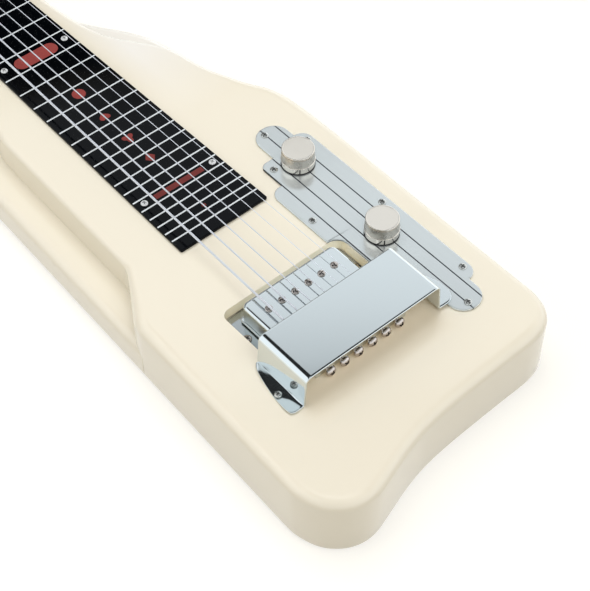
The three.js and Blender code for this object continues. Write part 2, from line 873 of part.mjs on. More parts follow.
function pickupCoverSolid() {
  const shell = slab(pickupRectangle(0, pickupCornerRadius), coverBottom, bodyThickness + pickupTop);
  const innerRadius = pickupCornerRadius - pickupWall;
  const hollow = slab(pickupRectangle(pickupWall, innerRadius), coverBottom - overrun, coverInnerTop);
  let cover = shell.subtract(hollow);
  for (const hole of poleHoles(poleRadius + seatGap)) {
    cover = cover.subtract(slab(hole, coverInnerTop - overrun, bodyThickness + pickupTop + overrun));
  }
  return cover;
}

function pickupCoilSolid() {
  const bottom = basePlateTop + magnetHeight + 2 * seatGap;
  const outline = pickupRectangle(pickupWall + seatGap, pickupCornerRadius - pickupWall);
  return slab(outline, bottom, coverInnerTop - seatGap, poleHoles(poleRadius + seatGap));
}

function magnetSolid() {
  const start = poleRow + poleRadius + 2 * seatGap;
  const low = [start, -magnetLength / 2, basePlateTop + seatGap];
  return block(low, [start + magnetWidth, magnetLength / 2, basePlateTop + seatGap + magnetHeight]);
}

function pickupBasePlateSolid() {
  const halfWidth = pickupWidth / 2 + basePlateMargin;
  const halfLength = pickupLength / 2;
  const edges = [pickupCentre - halfWidth, pickupCentre + halfWidth, -halfLength, halfLength];
  const outline = rectangle(...edges, pickupCornerRadius / 2, 2);
  const bottom = basePlateTop - basePlateThickness;
  let plate = slab(outline, bottom, basePlateTop, poleHoles(poleRadius + seatGap));
  const legBottom = bodyThickness - mountingPlateDepth + seatGap;
  for (const end of [-1, 1]) {
    const outer = end * halfLength;
    const inner = end * (halfLength - basePlateThickness);
    const low = [pickupCentre - basePlateLeg, Math.min(outer, inner), legBottom];
    const high = [pickupCentre + basePlateLeg, Math.max(outer, inner), basePlateTop - basePlateThickness / 2];
    plate = plate.add(block(low, high));
  }
  return plate;
}

function mountingPlateSolid() {
  const top = bodyThickness - mountingPlateDepth;
  const halfLength = routHalfLength - seatGap;
  const edges = [routNeckEdge + seatGap, routTailEdge - seatGap, -halfLength, halfLength];
  const outline = rectangle(...edges, routCornerRadius - seatGap);
  const windowHalf = routHalfLength - routShelf - basePlateLeg / 2;
  const window = rectangle(poleRow - basePlateLeg, poleRow + basePlateLeg, -windowHalf, windowHalf);
  return slab(outline, top - mountingPlateThickness, top, [window]);
}

// A slotted pole screw, standing on the cover.
function poleScrewSolid() {
  const top = poleHeadHeight;
  const screw = turned("z", [0, 0, 0], [
    [0, -poleLength],
    [poleRadius, -poleLength],
    [poleRadius, 0],
    [poleHeadRadius, 0],
    [poleHeadRadius, top / 2],
    [poleHeadRadius - top / 2, top],
    [0, top],
  ], 10);
  const slotHalf = poleRadius / 4;
  const slot = block([-poleHeadRadius, -slotHalf, top / 2], [poleHeadRadius, slotHalf, top + overrun]);
  return screw.subtract(slot);
}

add("pickup_cover", pickupCoverSolid(), chrome);
add("pickup_coil", pickupCoilSolid(), darkWinding);
add("pickup_magnet", magnetSolid(), magnetGrey);
add("pickup_base_plate", pickupBasePlateSolid(), chrome);
add("pickup_mounting_plate", mountingPlateSolid(), chrome);
for (const pole of poles) {
  const place = [poleRow, pole.y, bodyThickness + pickupTop + seatGap];
  add("pole_screw_" + pole.number, poleScrewSolid(), nickel, place);
}

// Bridge

const bridgePlateTop = bodyThickness + seatGap + bridgePlateThickness;
const screwAxis = bodyThickness + intonationHeight;

function bridgeBaseSolid() {
  const bottom = bodyThickness + seatGap;
  let base = block([bridgeNeckEdge, -bridgeHalfWidth, bottom], [flangeFace, bridgeHalfWidth, bridgePlateTop]);
  const flangeLow = [flangeFace - flangeThickness, -bridgeHalfWidth, bottom];
  base = base.add(block(flangeLow, [flangeFace, bridgeHalfWidth, bodyThickness + flangeHeight]));
  for (const string of strings) {
    const drop = string.radius + 2 * seatGap;
    base = base.subtract(rod("z", [stringDrop, string.atSaddle, bottom - overrun], overrun * 3, drop, 8));
    const start = [flangeFace - flangeThickness - seatGap, string.atSaddle, screwAxis];
    base = base.subtract(rod("x", start, flangeThickness + 2 * seatGap, intonationRadius + seatGap, 12));
  }
  return base;
}

// A saddle block with its crest under the string and a slot where the string goes down.
function saddleSolid(string) {
  const half = saddleWidth / 2;
  const bottom = bridgePlateTop + seatGap;
  const crest = stringLevel - string.radius - seatGap;
  const profile = [
    [saddleNeckEdge, bottom],
    [saddleTailEdge, bottom],
    [saddleTailEdge, crest - saddleWidth / 4],
    [saddleSlotStart + saddleWidth / 8, crest],
    [saddleSlotStart - saddleWidth / 8, crest],
    [saddleNeckEdge, crest - saddleWidth / 6],
  ].map(([x, z]) => new THREE.Vector2(x, z));
  const shape = new THREE.Shape(profile);
  const geometry = new THREE.ExtrudeGeometry(shape, { depth: saddleWidth, bevelEnabled: false });
  geometry.rotateX(Math.PI / 2);
  geometry.translate(0, string.atSaddle + half, 0);
  const slotHalf = string.radius + 2 * seatGap;
  const slot = block(
    [saddleSlotStart, string.atSaddle - slotHalf, bottom - overrun],
    [saddleSlotEnd, string.atSaddle + slotHalf, stringLevel + overrun],
  );
  const start = [saddleSlotEnd - seatGap, string.atSaddle, screwAxis];
  const length = saddleTailEdge - saddleSlotEnd + 2 * seatGap;
  const hole = rod("x", start, length, intonationRadius + seatGap, 12);
  return solidOf(geometry).subtract(slot).subtract(hole);
}

// A pan-head screw along +X, with its head towards the tail.
function intonationScrewSolid() {
  const shank = intonationHeadStart - intonationTip;
  const headEnd = shank + intonationHeadLength;
  const edge = intonationHeadRadius / 3;
  const screw = turned("x", [0, 0, 0], [
    [0, 0],
    [intonationRadius, 0],
    [intonationRadius, shank],
    [intonationHeadRadius, shank],
    [intonationHeadRadius, headEnd - edge],
    [intonationHeadRadius - edge, headEnd],
    [0, headEnd],
  ], 12);
  const slotHalf = intonationRadius / 4;
  const reach = intonationHeadRadius / 2;
  const low = headEnd - intonationHeadLength / 2;
  const across = block([low, -reach, -slotHalf], [headEnd + overrun, reach, slotHalf]);
  const upright = block([low, -slotHalf, -reach], [headEnd + overrun, slotHalf, reach]);
  return screw.subtract(across).subtract(upright);
}

add("bridge_base", bridgeBaseSolid(), chrome);
for (const string of strings) {
  const tip = [intonationTip, string.atSaddle, screwAxis];
  add("saddle_" + string.number, saddleSolid(string), brass);
  add("intonation_screw_" + string.number, intonationScrewSolid(), nickel, tip);
}

// Bridge cover

// Cross-section from the bass foot over the top to the treble foot.
function coverSection() {
  const bassFoot = bodyThickness + seatGap;
  const trebleFoot = plateTop + seatGap;
  const top = bodyThickness + coverTop;
  const shoulder = coverHalfWidthTop - coverBend;
  const outer = [
    [-footReachBass, bassFoot + coverThickness],
    [-coverHalfWidthFoot, bassFoot + coverThickness],
    [-coverHalfWidthTop, top - coverBend],
    ...arc(-shoulder, top - coverBend, coverBend, Math.PI, Math.PI / 2, 4).slice(1).map((p) => [p.x, p.y]),
    ...arc(shoulder, top - coverBend, coverBend, Math.PI / 2, 0, 4).map((p) => [p.x, p.y]),
    [coverHalfWidthFoot, trebleFoot + coverThickness],
    [footReachTreble, trebleFoot + coverThickness],
  ];
  const innerBend = coverBend - coverThickness;
  const inner = [
    [footReachTreble, trebleFoot],
    [coverHalfWidthFoot - coverThickness, trebleFoot],
    ...arc(shoulder, top - coverBend, innerBend, 0, Math.PI / 2, 4).map((p) => [p.x, p.y]),
    ...arc(-shoulder, top - coverBend, innerBend, Math.PI / 2, Math.PI, 4).map((p) => [p.x, p.y]),
    [-coverHalfWidthFoot + coverThickness, bassFoot],
    [-footReachBass, bassFoot],
  ];
  return [...outer, ...inner].map(([y, z]) => new THREE.Vector2(y, z));
}

// One rounded foot of the cover in plan, on the bass (-1) or the treble side (1).
function footPlan(shares, side, footReach) {
  const length = coverTailEdge - coverNeckEdge;
  const toe = footReach - coverHalfWidthFoot;
  const points = shares.map(([along, out]) => {
    const reach = coverHalfWidthFoot + out * toe;
    return new THREE.Vector2(coverNeckEdge + along * length, side * reach);
  });
  return spline(points, 14);
}

function coverPlan() {
  const bass = footPlan(bassFootShares, -1, footReachBass);
  return [...bass, ...footPlan(trebleFootShares, 1, footReachTreble)];
}

function bridgeCoverSolid() {
  const geometry = new THREE.ExtrudeGeometry(new THREE.Shape(coverSection()), {
    depth: coverTailEdge - coverNeckEdge,
    bevelEnabled: false,
  });
  // The section lies in Y and Z and runs along X.
  geometry.applyMatrix4(new THREE.Matrix4().set(0, 0, 1, coverNeckEdge, 1, 0, 0, 0, 0, 1, 0, 0, 0, 0, 0, 1));
  const plan = slab(coverPlan(), bodyThickness - overrun, bodyThickness + coverTop + overrun);
  const hole = rod("z", [footScrewX, footScrewY, bodyThickness - overrun], 3 * overrun, footScrewRadius, 12);
  return solidOf(geometry).intersect(plan).subtract(hole);
}

add("bridge_cover", bridgeCoverSolid(), chrome);

// Control plate, a sheet of five strips that end in rounded lobes

function controlPlateOutline() {
  let outer = plateOuterEdge;
  const tail = plateStepShares.flatMap((step) => {
    const reach = controlCentre + step.reach * plateHalfLength;
    const inner = plateInnerEdge + step.inner * plateWidth;
    const corners = [
      ...corner(reach, outer, step.outerRadius * plateWidth, -1),
      ...corner(reach, inner, step.innerRadius * plateWidth, 1),
    ];
    outer = inner;
    return corners;
  });
  const neck = tail.map((point) => new THREE.Vector2(2 * controlCentre - point.x, point.y)).reverse();
  return [...tail, ...neck].reverse();
}

// A convex corner at the tail end of a strip, rounded towards +Y (side 1) or towards -Y (side -1).
function corner(x, y, radius, side) {
  if (!radius) return [new THREE.Vector2(x, y)];
  const points = arc(x - radius, y + side * radius, radius, 0, (-side * Math.PI) / 2, 5);
  return side < 0 ? points.reverse() : points;
}

function controlPlateSolid() {
  const bottom = bodyThickness + seatGap;
  let plate = slab(controlPlateOutline(), bottom, plateTop);
  const rim = seatGap * 2;
  const notch = rectangle(routNeckEdge - rim, routTailEdge + rim, 0, routHalfLength + rim, routCornerRadius);
  plate = plate.subtract(slab(notch, bottom - overrun, plateTop + overrun));
  const bushingHole = bushingRadius + seatGap;
  for (const x of knobPlaces) {
    plate = plate.subtract(rod("z", [x, knobLine, bottom - overrun], 3 * overrun, bushingHole, 16));
  }
  for (const [along, across] of plateScrewShares) {
    const x = controlCentre + along * plateHalfLength;
    const start = [x, plateInnerEdge + across * plateWidth, bottom - overrun];
    plate = plate.subtract(rod("z", start, 3 * overrun, plateScrewRadius, 8));
  }
  return plate;
}

add("control_plate", controlPlateSolid(), chrome);

// Knobs and potentiometers, each built round its own axis

const knobBottom = plateTop + knobClearance;
const knobTop = knobBottom + knobHeight;
const shaftTop = knobTop - shaftTopInset;
const potTop = bodyThickness;

function knobSolid() {
  const bore = shaftRadius + seatGap;
  const profile = [
    [knobHollowRadius, 0],
    [knobSkirtRadius, 0],
    [knobSkirtRadius, knobSkirtHeight - knobEdge / 2],
    [knobRadius, knobSkirtHeight],
    [knobRadius, knobHeight - knobEdge],
    [knobRadius - knobEdge, knobHeight],
    [0, knobHeight],
    [0, knobHeight - shaftTopInset + seatGap],
    [bore, knobHeight - shaftTopInset + seatGap],
    [bore, knobHollowHeight],
    [knobHollowRadius, knobHollowHeight],
    [knobHollowRadius, 0],
  ];
  return turned("z", [0, 0, 0], profile, 24);
}

function potSolid() {
  const bore = shaftRadius + seatGap;
  const bushingTop = plateTop + bushingHeight;
  const profile = [
    [0, potTop - potHeight],
    [potRadius, potTop - potHeight],
    [potRadius, potTop],
    [bushingRadius, potTop],
    [bushingRadius, bushingTop],
    [bore, bushingTop],
    [bore, potTop - potHeight + potFloor],
    [0, potTop - potHeight + potFloor],
  ];
  return turned("z", [0, 0, 0], profile, 20);
}

function potNutSolid() {
  const outline = circle(0, 0, potNutRadius, 6);
  const bottom = plateTop + seatGap;
  return slab(outline, bottom, bottom + potNutHeight, [circle(0, 0, bushingRadius + seatGap, 20)]);
}

["volume", "tone"].forEach((use, order) => {
  const x = knobPlaces[1 - order];
  const shaftBottom = potTop - potHeight + potFloor + seatGap;
  const shaft = rod("z", [0, 0, shaftBottom], shaftTop - shaftBottom, shaftRadius, 16);
  add(use + "_pot", potSolid(), steel, [x, knobLine, 0]);
  add(use + "_pot_nut", potNutSolid(), nickel, [x, knobLine, 0]);
  add(use + "_shaft", shaft, brass, [x, knobLine, 0]);
  add(use + "_knob", knobSolid(), nickel, [x, knobLine, knobBottom]);
});

const capacitorLevel = bodyThickness - cavityDepth + seatGap + capacitorRadius;
const capacitorStart = [knobPlaces[0] - capacitorLength / 2, knobLine, capacitorLevel];
add("capacitor", rod("x", capacitorStart, capacitorLength, capacitorRadius, 16), capacitorBrown);

// Output jack on the treble side

const jackPlateInner = trebleHalfWidth + seatGap;
const jackPlateOuter = jackPlateInner + jackPlateThickness;

function jackPlateSolid() {
  const low = [jackPlace - jackPlateLength / 2, jackPlateInner, jackHeight - jackPlateHeight / 2];
  const high = [jackPlace + jackPlateLength / 2, jackPlateOuter, jackHeight + jackPlateHeight / 2];
  const start = [jackPlace, jackPlateInner - overrun, jackHeight];
  const hole = rod("y", start, jackPlateThickness + 2 * overrun, jackBushingRadius + seatGap, 20);
  return block(low, high).subtract(hole);
}

function jackSolid() {
  const bodyEnd = trebleHalfWidth;
  const bushingEnd = jackPlateOuter + jackBushingReach;
  const bodyStart = bodyEnd - jackBodyLength;
  const profile = [
    [0, bodyStart],
    [jackBodyRadius, bodyStart],
    [jackBodyRadius, bodyEnd],
    [jackBushingRadius, bodyEnd],
    [jackBushingRadius, bushingEnd],
    [jackSocketRadius, bushingEnd],
    [jackSocketRadius, bodyStart + jackSocketFloor],
    [0, bodyStart + jackSocketFloor],
  ];
  return turned("y", [jackPlace, 0, jackHeight], profile, 20);
}

add("jack_plate", jackPlateSolid(), chrome);
add("output_jack", jackSolid(), nickel);

export default guitar;
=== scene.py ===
"""Looks of a six-string lap steel guitar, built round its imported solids.

Shapes are worked out in millimetres in the part's own frame: the strings run along X with the tail at +X,
the knobs are at +Y and the flat back lies at Z = 0. A piece's points become metres when its mesh is made.
"""

import math

import bmesh
import bpy
import numpy as np
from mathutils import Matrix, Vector


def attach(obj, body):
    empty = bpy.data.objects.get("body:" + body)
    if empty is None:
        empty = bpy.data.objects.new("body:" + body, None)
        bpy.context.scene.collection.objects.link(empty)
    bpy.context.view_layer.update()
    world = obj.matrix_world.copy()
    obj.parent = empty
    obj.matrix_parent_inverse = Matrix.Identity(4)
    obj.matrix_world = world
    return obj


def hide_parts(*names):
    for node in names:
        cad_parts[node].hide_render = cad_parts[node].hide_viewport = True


bl_info = {
    "name": "Lap steel guitar",
    "version": (1, 0, 0),
    "blender": (4, 5, 0),
    "location": "View3D > Sidebar > Lap steel",
    "description": "Builds the body, fittings, strings and studio of a lap steel guitar",
    "category": "Object",
}

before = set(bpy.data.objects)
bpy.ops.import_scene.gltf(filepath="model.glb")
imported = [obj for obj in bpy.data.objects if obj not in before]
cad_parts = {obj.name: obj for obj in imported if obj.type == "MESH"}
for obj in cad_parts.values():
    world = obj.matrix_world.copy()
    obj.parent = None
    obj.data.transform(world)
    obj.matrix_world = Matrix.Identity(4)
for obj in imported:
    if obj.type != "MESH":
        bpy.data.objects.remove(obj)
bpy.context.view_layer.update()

METRES = 0.001  # one millimetre
FLOOR_LEVEL = -0.0004  # metres
GAP = 0.3  # between a piece and what it rests on
SHARP = 32  # degrees; steeper edges stay sharp
TURNED_SHARP = 40  # the same on turned pieces
BENT_SHARP = 50  # the same on strings and the bridge cover

# Strings
SCALE_LENGTH = 571.5
NUT_FACE = -SCALE_LENGTH
NUT_BACK = NUT_FACE - 5
STRING_LEVEL = 54.3
STRING_RADII = [0.71, 0.535, 0.405, 0.305, 0.215, 0.19]  # bass side first
SADDLE_PITCH = 10.12
NUT_PITCH = 7.16
STRING_DROP = 3.2
SADDLE_BEND = 2.4
BALL_LEVEL = 3.5
BALL_RADIUS = 2.0
TURNS_ON_POST = 2
MIDDLE_ROW = 2.5  # rows 0 to 5 run from the bass side

# Body
BODY_TOP = 44.0
WING_TOP = 22.0
HALF_WIDTH = 102.0  # treble side
HEAD_TOP = 31.0
HEAD_BOTTOM = 14.0
HEAD_LENGTH = 152.0
NECK_HALF = 31.6
BACK_ROUNDING = 3.0
HEAD_SOFTENING = 10  # passes that round the corners of the head
HAIR = 0.05  # keeps two faces out of one plane

# Hollows of the body
POCKET_FLOOR = 34.7
PIT_FLOOR = 28.0
CAVITY = (-128.0, -25.0, 52.2, 78.2)
CAVITY_FLOOR = 12.0
CLEAR = 50.0  # above all of the body
BELOW = -2.0

# Board
BOARD_END = -104.3
BOARD_HALF_TAIL = 32.2
BOARD_HALF_NUT = 23.4
BOARD_TOP = 46.0
BOARD_CORNER = 0.9
PRINT_LEVEL = BOARD_TOP - 0.2
LAST_FRET = 28

# Pickup
PICKUP_X = -34.1
PICKUP_HALF = (15.0, 34.2)
PICKUP_TOP = 50.5
POLE_X = -36.5
POLE_PITCH = 9.65
ROUT = (-55.2, -12.0, 43.8)  # neck edge, tail edge, half length
ROUT_CORNER = 5.5
PLATE_LEVEL = 36.5  # top of the mounting plate

# Bridge cover
COVER_NECK = -16.0
COVER_TAIL = 22.7
COVER_SHEET = 1.2
COVER_TOP = 66.5
COVER_TOES = (-59.2, 62.4)  # bass side, treble side
COVER_LEGS = (-49.6, 49.4)
COVER_HALF_TOP = 48.2
FOOT_START = 49.8
FOOT_REACH = (9.4, 12.6)
TOE_LENGTH = 7
SCREW_AXIS = 47.6
SCREW_HEAD = 15.5

# Control plate and knobs
CONTROL_TOP = 45.5
KNOB_PLACES = {"volume": -40.1, "tone": -113.6}
KNOB_LINE = 64.199
KNOB_BOTTOM = 46.0
KNOB_HEIGHT = 12.3
ENGRAVED_LINES = [0.0741, 0.0646, 0.0548, 0.0450]  # metres from the centreline

# Jack
JACK_X = -76.3
JACK_LEVEL = 22.0
JACK_PLATE_FACE = 103.8

# Tuners
POST_LINE = 20.0
POST_PITCH = 38.0
FIRST_POST = 26.995
POST_TOP = 47.0
COLLAR_TOP = 36.4
GEAR_TOP = 12.2
WORM_LEVEL = 10.2
WORM_OFFSET = 8.6
TUNER_PLATE_TOP = 13.7
POST_RADIUS = 3.0
GEAR_TEETH = 14

# Outline points of the body, as shares of the scale length and of the treble half width
TREBLE_TOP = [
    (-1.0, 0.31), (-0.72, 0.35), (-0.6, 0.372), (-0.545, 0.4), (-0.51, 0.44), (-0.488, 0.495),
    (-0.465, 0.58), (-0.441, 0.672), (-0.42, 0.713), (-0.396, 0.735), (-0.372, 0.77),
    (-0.348, 0.832), (-0.33, 0.888), (-0.312, 0.945), (-0.289, 0.98), (-0.262, 0.993), (-0.21, 1.0),
]
TREBLE_WING = [
    (-1.0, 0.375), (-0.75, 0.425), (-0.62, 0.485), (-0.583, 0.53), (-0.556, 0.612),
    (-0.53, 0.712), (-0.504, 0.792), (-0.48, 0.834), (-0.448, 0.857), (-0.388, 0.8725), (-0.33, 0.888),
]
BASS_TOP = [
    (-1.0, -0.31), (-0.72, -0.35), (-0.6, -0.372), (-0.545, -0.395), (-0.51, -0.425),
    (-0.488, -0.47), (-0.465, -0.525), (-0.441, -0.56), (-0.415, -0.572),
]
BASS_WING = [
    (-1.0, -0.375), (-0.75, -0.425), (-0.62, -0.485), (-0.583, -0.53), (-0.556, -0.6),
    (-0.53, -0.68), (-0.504, -0.735), (-0.475, -0.762), (-0.4, -0.771),
]
BASS_STEP = [(-0.206, -0.606, 4.0), (-0.182, -0.685, 5.0), (-0.148, -0.805, 4.0), (-0.135, -0.823, 6.0)]
BASS_SIDE_END = (0.085, -0.866)
TAIL = [
    (0.105, -0.862), (0.128, -0.817), (0.1435, -0.735), (0.151, -0.64), (0.1515, -0.54),
    (0.145, -0.41), (0.136, -0.25), (0.129, -0.08), (0.1255, 0.12), (0.124, 0.34), (0.123, 0.56),
    (0.122, 0.76), (0.116, 0.885), (0.102, 0.965), (0.08, 1.0),
]
HEAD = [(0.0, 0.93), (0.06, 0.93), (0.16, 1.08), (0.3, 1.13), (0.86, 1.2), (0.95, 1.1), (1.0, 0.85)]


def linear(red, green, blue):
    """A colour given as 0 to 255 on a screen, as the amounts of light that a shader takes."""
    shares = np.array([red, green, blue]) / 255
    light = np.where(shares <= 0.04045, shares / 12.92, ((shares + 0.055) / 1.055) ** 2.4)
    return tuple(float(value) for value in light)


# Curves


def smooth_curve(points, steps):
    """Curve through the points: each stretch is the cubic whose end slopes are half its neighbours' span."""
    points = np.asarray(points, float)
    padded = np.concatenate([points[:1], points, points[-1:]])
    place = np.linspace(0, len(points) - 1, steps + 1)
    index = np.minimum(place.astype(int), len(points) - 2)
    t = (place - index)[:, None]
    a, b, c, d = (padded[index + k] for k in range(4))
    return 0.5 * (2 * b + (c - a) * t + (2 * a - 5 * b + 4 * c - d) * t**2 + (3 * b - a - 3 * c + d) * t**3)


def unit(vector):
    return vector / np.linalg.norm(vector, axis=-1, keepdims=True)


def full_turn(steps):
    return np.linspace(0, 2 * math.pi, steps, endpoint=False)


def rounded_path(corners, closed=True, steps=6, lip=0.0):
    """Straight runs between corners (x, y, radius), each corner turned on the arc that both runs touch.

    A lip adds a point that far past each end of an arc, so that a flat run stays flat in its shading.
    """
    corners = np.array(corners, float)
    points, radii = corners[:, :2], corners[:, 2]
    count = len(points)
    parts = []
    for i, (point, radius) in enumerate(zip(points, radii)):
        if radius == 0 or (not closed and i in (0, count - 1)):
            parts.append(point[None])
            continue
        before = unit(points[i - 1] - point)
        after = unit(points[(i + 1) % count] - point)
        half = 0.5 * math.acos(float(np.clip(before @ after, -1, 1)))
        reach = radius / math.tan(half)
        centre = point + unit(before + after) * radius / math.sin(half)
        start = point + before * reach - centre
        end = point + after * reach - centre
        turn = math.pi - 2 * half
        t = np.linspace(0, 1, steps + 1)[:, None]
        arc = (np.sin((1 - t) * turn) * start + np.sin(t * turn) * end) / math.sin(turn) + centre
        if lip:
            arc = np.concatenate([arc[:1] + before * lip, arc, arc[-1:] + after * lip])
        parts.append(arc)
    return np.concatenate(parts)


def spaced(points, spacing, closed=False):
    """The same line with points about one spacing apart, by length along it."""
    if closed:
        points = np.concatenate([points, points[:1]])
    length = np.concatenate([[0], np.cumsum(np.linalg.norm(np.diff(points, axis=0), axis=1))])
    places = np.linspace(0, length[-1], max(int(length[-1] / spacing), 2) + 1)
    if closed:
        places = places[:-1]
    return np.stack([np.interp(places, length, column) for column in points.T], -1)


def with_stations(points, spacing):
    """The same line, with every run longer than one spacing cut into equal parts."""
    parts = []
    for a, b in zip(points[:-1], points[1:]):
        cuts = max(int(np.linalg.norm(b - a) / spacing), 1)
        parts.append(a + (b - a) * np.arange(cuts)[:, None] / cuts)
    return np.concatenate(parts + [points[-1:]])


def counter_clockwise(outline):
    x, y = outline.T
    area = np.sum(x * np.roll(y, -1) - np.roll(x, -1) * y)
    return outline if area > 0 else outline[::-1]


def drawn_in(outline, distance):
    """Each point moved inwards along the mean normal of its two sides, until both have moved by distance."""
    before = unit(outline - np.roll(outline, 1, 0))
    after = unit(np.roll(outline, -1, 0) - outline)
    normal = np.stack([before[:, 1] + after[:, 1], -before[:, 0] - after[:, 0]], -1)
    share = 1 + np.sum(before * after, 1)
    return outline - normal * (distance / share)[:, None]


def rectangle(x0, x1, y0, y1, radius, steps=6, lip=0.0):
    corners = [(x0, y0, radius), (x1, y0, radius), (x1, y1, radius), (x0, y1, radius)]
    return rounded_path(corners, True, steps, lip)


def ring(radius, sides, centre=(0, 0)):
    turn = full_turn(sides)
    return np.stack([centre[0] + radius * np.cos(turn), centre[1] + radius * np.sin(turn)], -1)


def facing(points, axis, place=(0, 0, 0)):
    """Points drawn round the Z axis, turned so that Z becomes the given axis, and moved to their place."""
    x, y, z = np.moveaxis(np.asarray(points, float), -1, 0)
    turned = {"z": (x, y, z), "x": (z, x, y), "y": (y, z, x), "-y": (-y, -z, x), "-z": (x, -y, -z)}[axis]
    return np.stack(turned, -1) + np.array(place, float)


# Meshes


class Shell:
    """Closed skins of one piece, gathered as grids of points, and turned into one mesh."""

    def __init__(self):
        self.points = []
        self.faces = []
        self.finishes = []
        self.marks = []
        self.count = 0

    def add(self, points, faces, finish=0, marks=None):
        points = np.asarray(points, float).reshape(-1, 3)
        self.points.append(points)
        self.marks.append(np.zeros((len(points), 3)) if marks is None else np.asarray(marks).reshape(-1, 3))
        self.faces += [[corner + self.count for corner in face] for face in faces]
        self.finishes += [finish] * len(faces)
        self.count += len(points)

    def grid(self, points, around=False, finish=0, marks=None):
        """Rows and columns of points; around joins the last column to the first."""
        rows, columns = points.shape[:2]
        index = np.arange(rows * columns).reshape(rows, columns)
        if around:
            index = np.concatenate([index, index[:, :1]], 1)
        quads = np.stack([index[:-1, :-1], index[:-1, 1:], index[1:, 1:], index[1:, :-1]], -1)
        self.add(points, quads.reshape(-1, 4).tolist(), finish, marks)

    def slab(self, outline, bottom, top, low=0.0, high=0.0, steps=5, lip=0.4, axis="z", place=(0, 0, 0)):
        """A raised outline. On a rounded rim of one radius, a point at angle a stands radius * (1 - sin a) in
        from the outline and radius * (1 - cos a) from the flat face."""
        outline = counter_clockwise(np.asarray(outline, float))
        low, high = (np.broadcast_to(np.asarray(value, float), (len(outline),)) for value in (low, high))
        rings = []
        angles = np.linspace(0, math.pi / 2, steps + 1)
        for level, radius, side, turns in ((bottom, low, 1, angles), (top, high, -1, angles[::-1])):
            if radius.max() == 0:
                rings.append((outline, np.full(len(outline), float(level))))
                continue
            rows = [
                (drawn_in(outline, radius * (1 - math.sin(a))), level + side * radius * (1 - math.cos(a)))
                for a in turns
            ]
            if lip:
                inner = (drawn_in(outline, radius + lip * (radius > 0)), np.full(len(outline), float(level)))
                rows = [inner] + rows if side > 0 else rows + [inner]
            rings += rows
        points = np.array([np.column_stack([flat, height]) for flat, height in rings])
        count = len(outline)
        shaped = facing(points, axis, place)
        self.grid(shaped, True)
        self.add(shaped[0], [list(range(count))[::-1]])
        self.add(shaped[-1], [list(range(count))])

    def turned(self, profile, axis="z", place=(0, 0, 0), sides=48, finish=0):
        """A profile of (radius, height) turned once round its axis; marks hold the turn's cosine and sine."""
        profile = np.asarray(profile, float)[:, :2]
        turn = full_turn(sides)
        radius, height = profile[:, :1], profile[:, 1:2]
        points = np.stack([radius * np.cos(turn), radius * np.sin(turn), height + 0 * turn], -1)
        marks = np.stack([np.cos(turn) + 0 * height, np.sin(turn) + 0 * height, height + 0 * turn], -1)
        self.grid(facing(points, axis, place), True, finish, marks)

    def thread(self, radius, depth, pitch, start, length, axis, place, sides=24, finish=0):
        """A screw thread: at height h and turn a the radius less depth * |2 * frac(h / pitch - a) - 1|."""
        rows = int(length / pitch * 8)
        height = np.linspace(start, start + length, rows + 1)[:, None]
        turn = full_turn(sides)
        phase = np.mod(height / pitch - turn / (2 * math.pi), 1)
        swell = radius - depth * np.abs(2 * phase - 1)
        points = np.stack([swell * np.cos(turn), swell * np.sin(turn), height + 0 * turn], -1)
        ends = points[[0, -1]] * np.array([0, 0, 1])
        points = np.concatenate([ends[:1], points, ends[1:]])
        self.grid(facing(points, axis, place), True, finish)

    def tube(self, path, radius, sides):
        """A round tube along a path, closed at both ends; marks hold the length along it."""
        along = unit(np.gradient(path, axis=0))
        side = np.zeros_like(path)
        side[0] = (0, 1, 0)
        for i in range(len(path)):
            last = side[max(i - 1, 0)]
            side[i] = unit(last - along[i] * (last @ along[i]))
        up = np.cross(along, side)
        turn = full_turn(sides)[None, :, None]
        skin = path[:, None] + radius * (np.cos(turn) * side[:, None] + np.sin(turn) * up[:, None])
        length = np.concatenate([[0], np.cumsum(np.linalg.norm(np.diff(path, axis=0), axis=1))])
        centres = np.repeat(path[[0, -1], None], sides, 1)
        points = np.concatenate([centres[:1], skin, centres[1:]])
        stations = np.concatenate([length[:1], length, length[-1:]])
        marks = np.broadcast_to(stations[:, None, None], points.shape)
        self.grid(points, True, marks=marks)

    def copies(self, mesh, places, axis="z", first_turn=0.4):
        """The same small mesh at several places, each turned a little further about its own axis.

        Marks hold a point's place in the small mesh, as shares of its radius and its height."""
        points = np.zeros(len(mesh.vertices) * 3)
        mesh.vertices.foreach_get("co", points)
        points = points.reshape(-1, 3) / METRES
        radius, height = np.linalg.norm(points[:, :2], axis=1).max(), points[:, 2].max()
        marks = points / (radius, radius, height)
        faces = [list(face.vertices) for face in mesh.polygons]
        for i, place in enumerate(places):
            turn = first_turn + 1.13 * i
            cosine, sine = math.cos(turn), math.sin(turn)
            spin = np.array([[cosine, -sine, 0], [sine, cosine, 0], [0, 0, 1]])
            self.add(facing(points @ spin.T, axis, place), faces, marks=marks)

    def mesh(self, name, sharp=SHARP):
        mesh = bpy.data.meshes.new(name)
        points = np.concatenate(self.points) * METRES
        mesh.from_pydata(points.tolist(), [], self.faces)
        mesh.polygons.foreach_set("material_index", np.array(self.finishes, np.int32))
        mark = mesh.attributes.new("marks", "FLOAT_VECTOR", "POINT")
        mark.data.foreach_set("vector", np.concatenate(self.marks).astype(np.float32).ravel())
        cleaned(mesh)
        shaded(mesh, sharp)
        return mesh


def cleaned(mesh):
    """Joins points that meet and turns every skin's faces outwards."""
    work = bmesh.new()
    work.from_mesh(mesh)
    bmesh.ops.remove_doubles(work, verts=work.verts, dist=2e-6)
    bmesh.ops.dissolve_degenerate(work, edges=work.edges, dist=1e-7)
    bmesh.ops.recalc_face_normals(work, faces=work.faces)
    work.to_mesh(mesh)
    work.free()


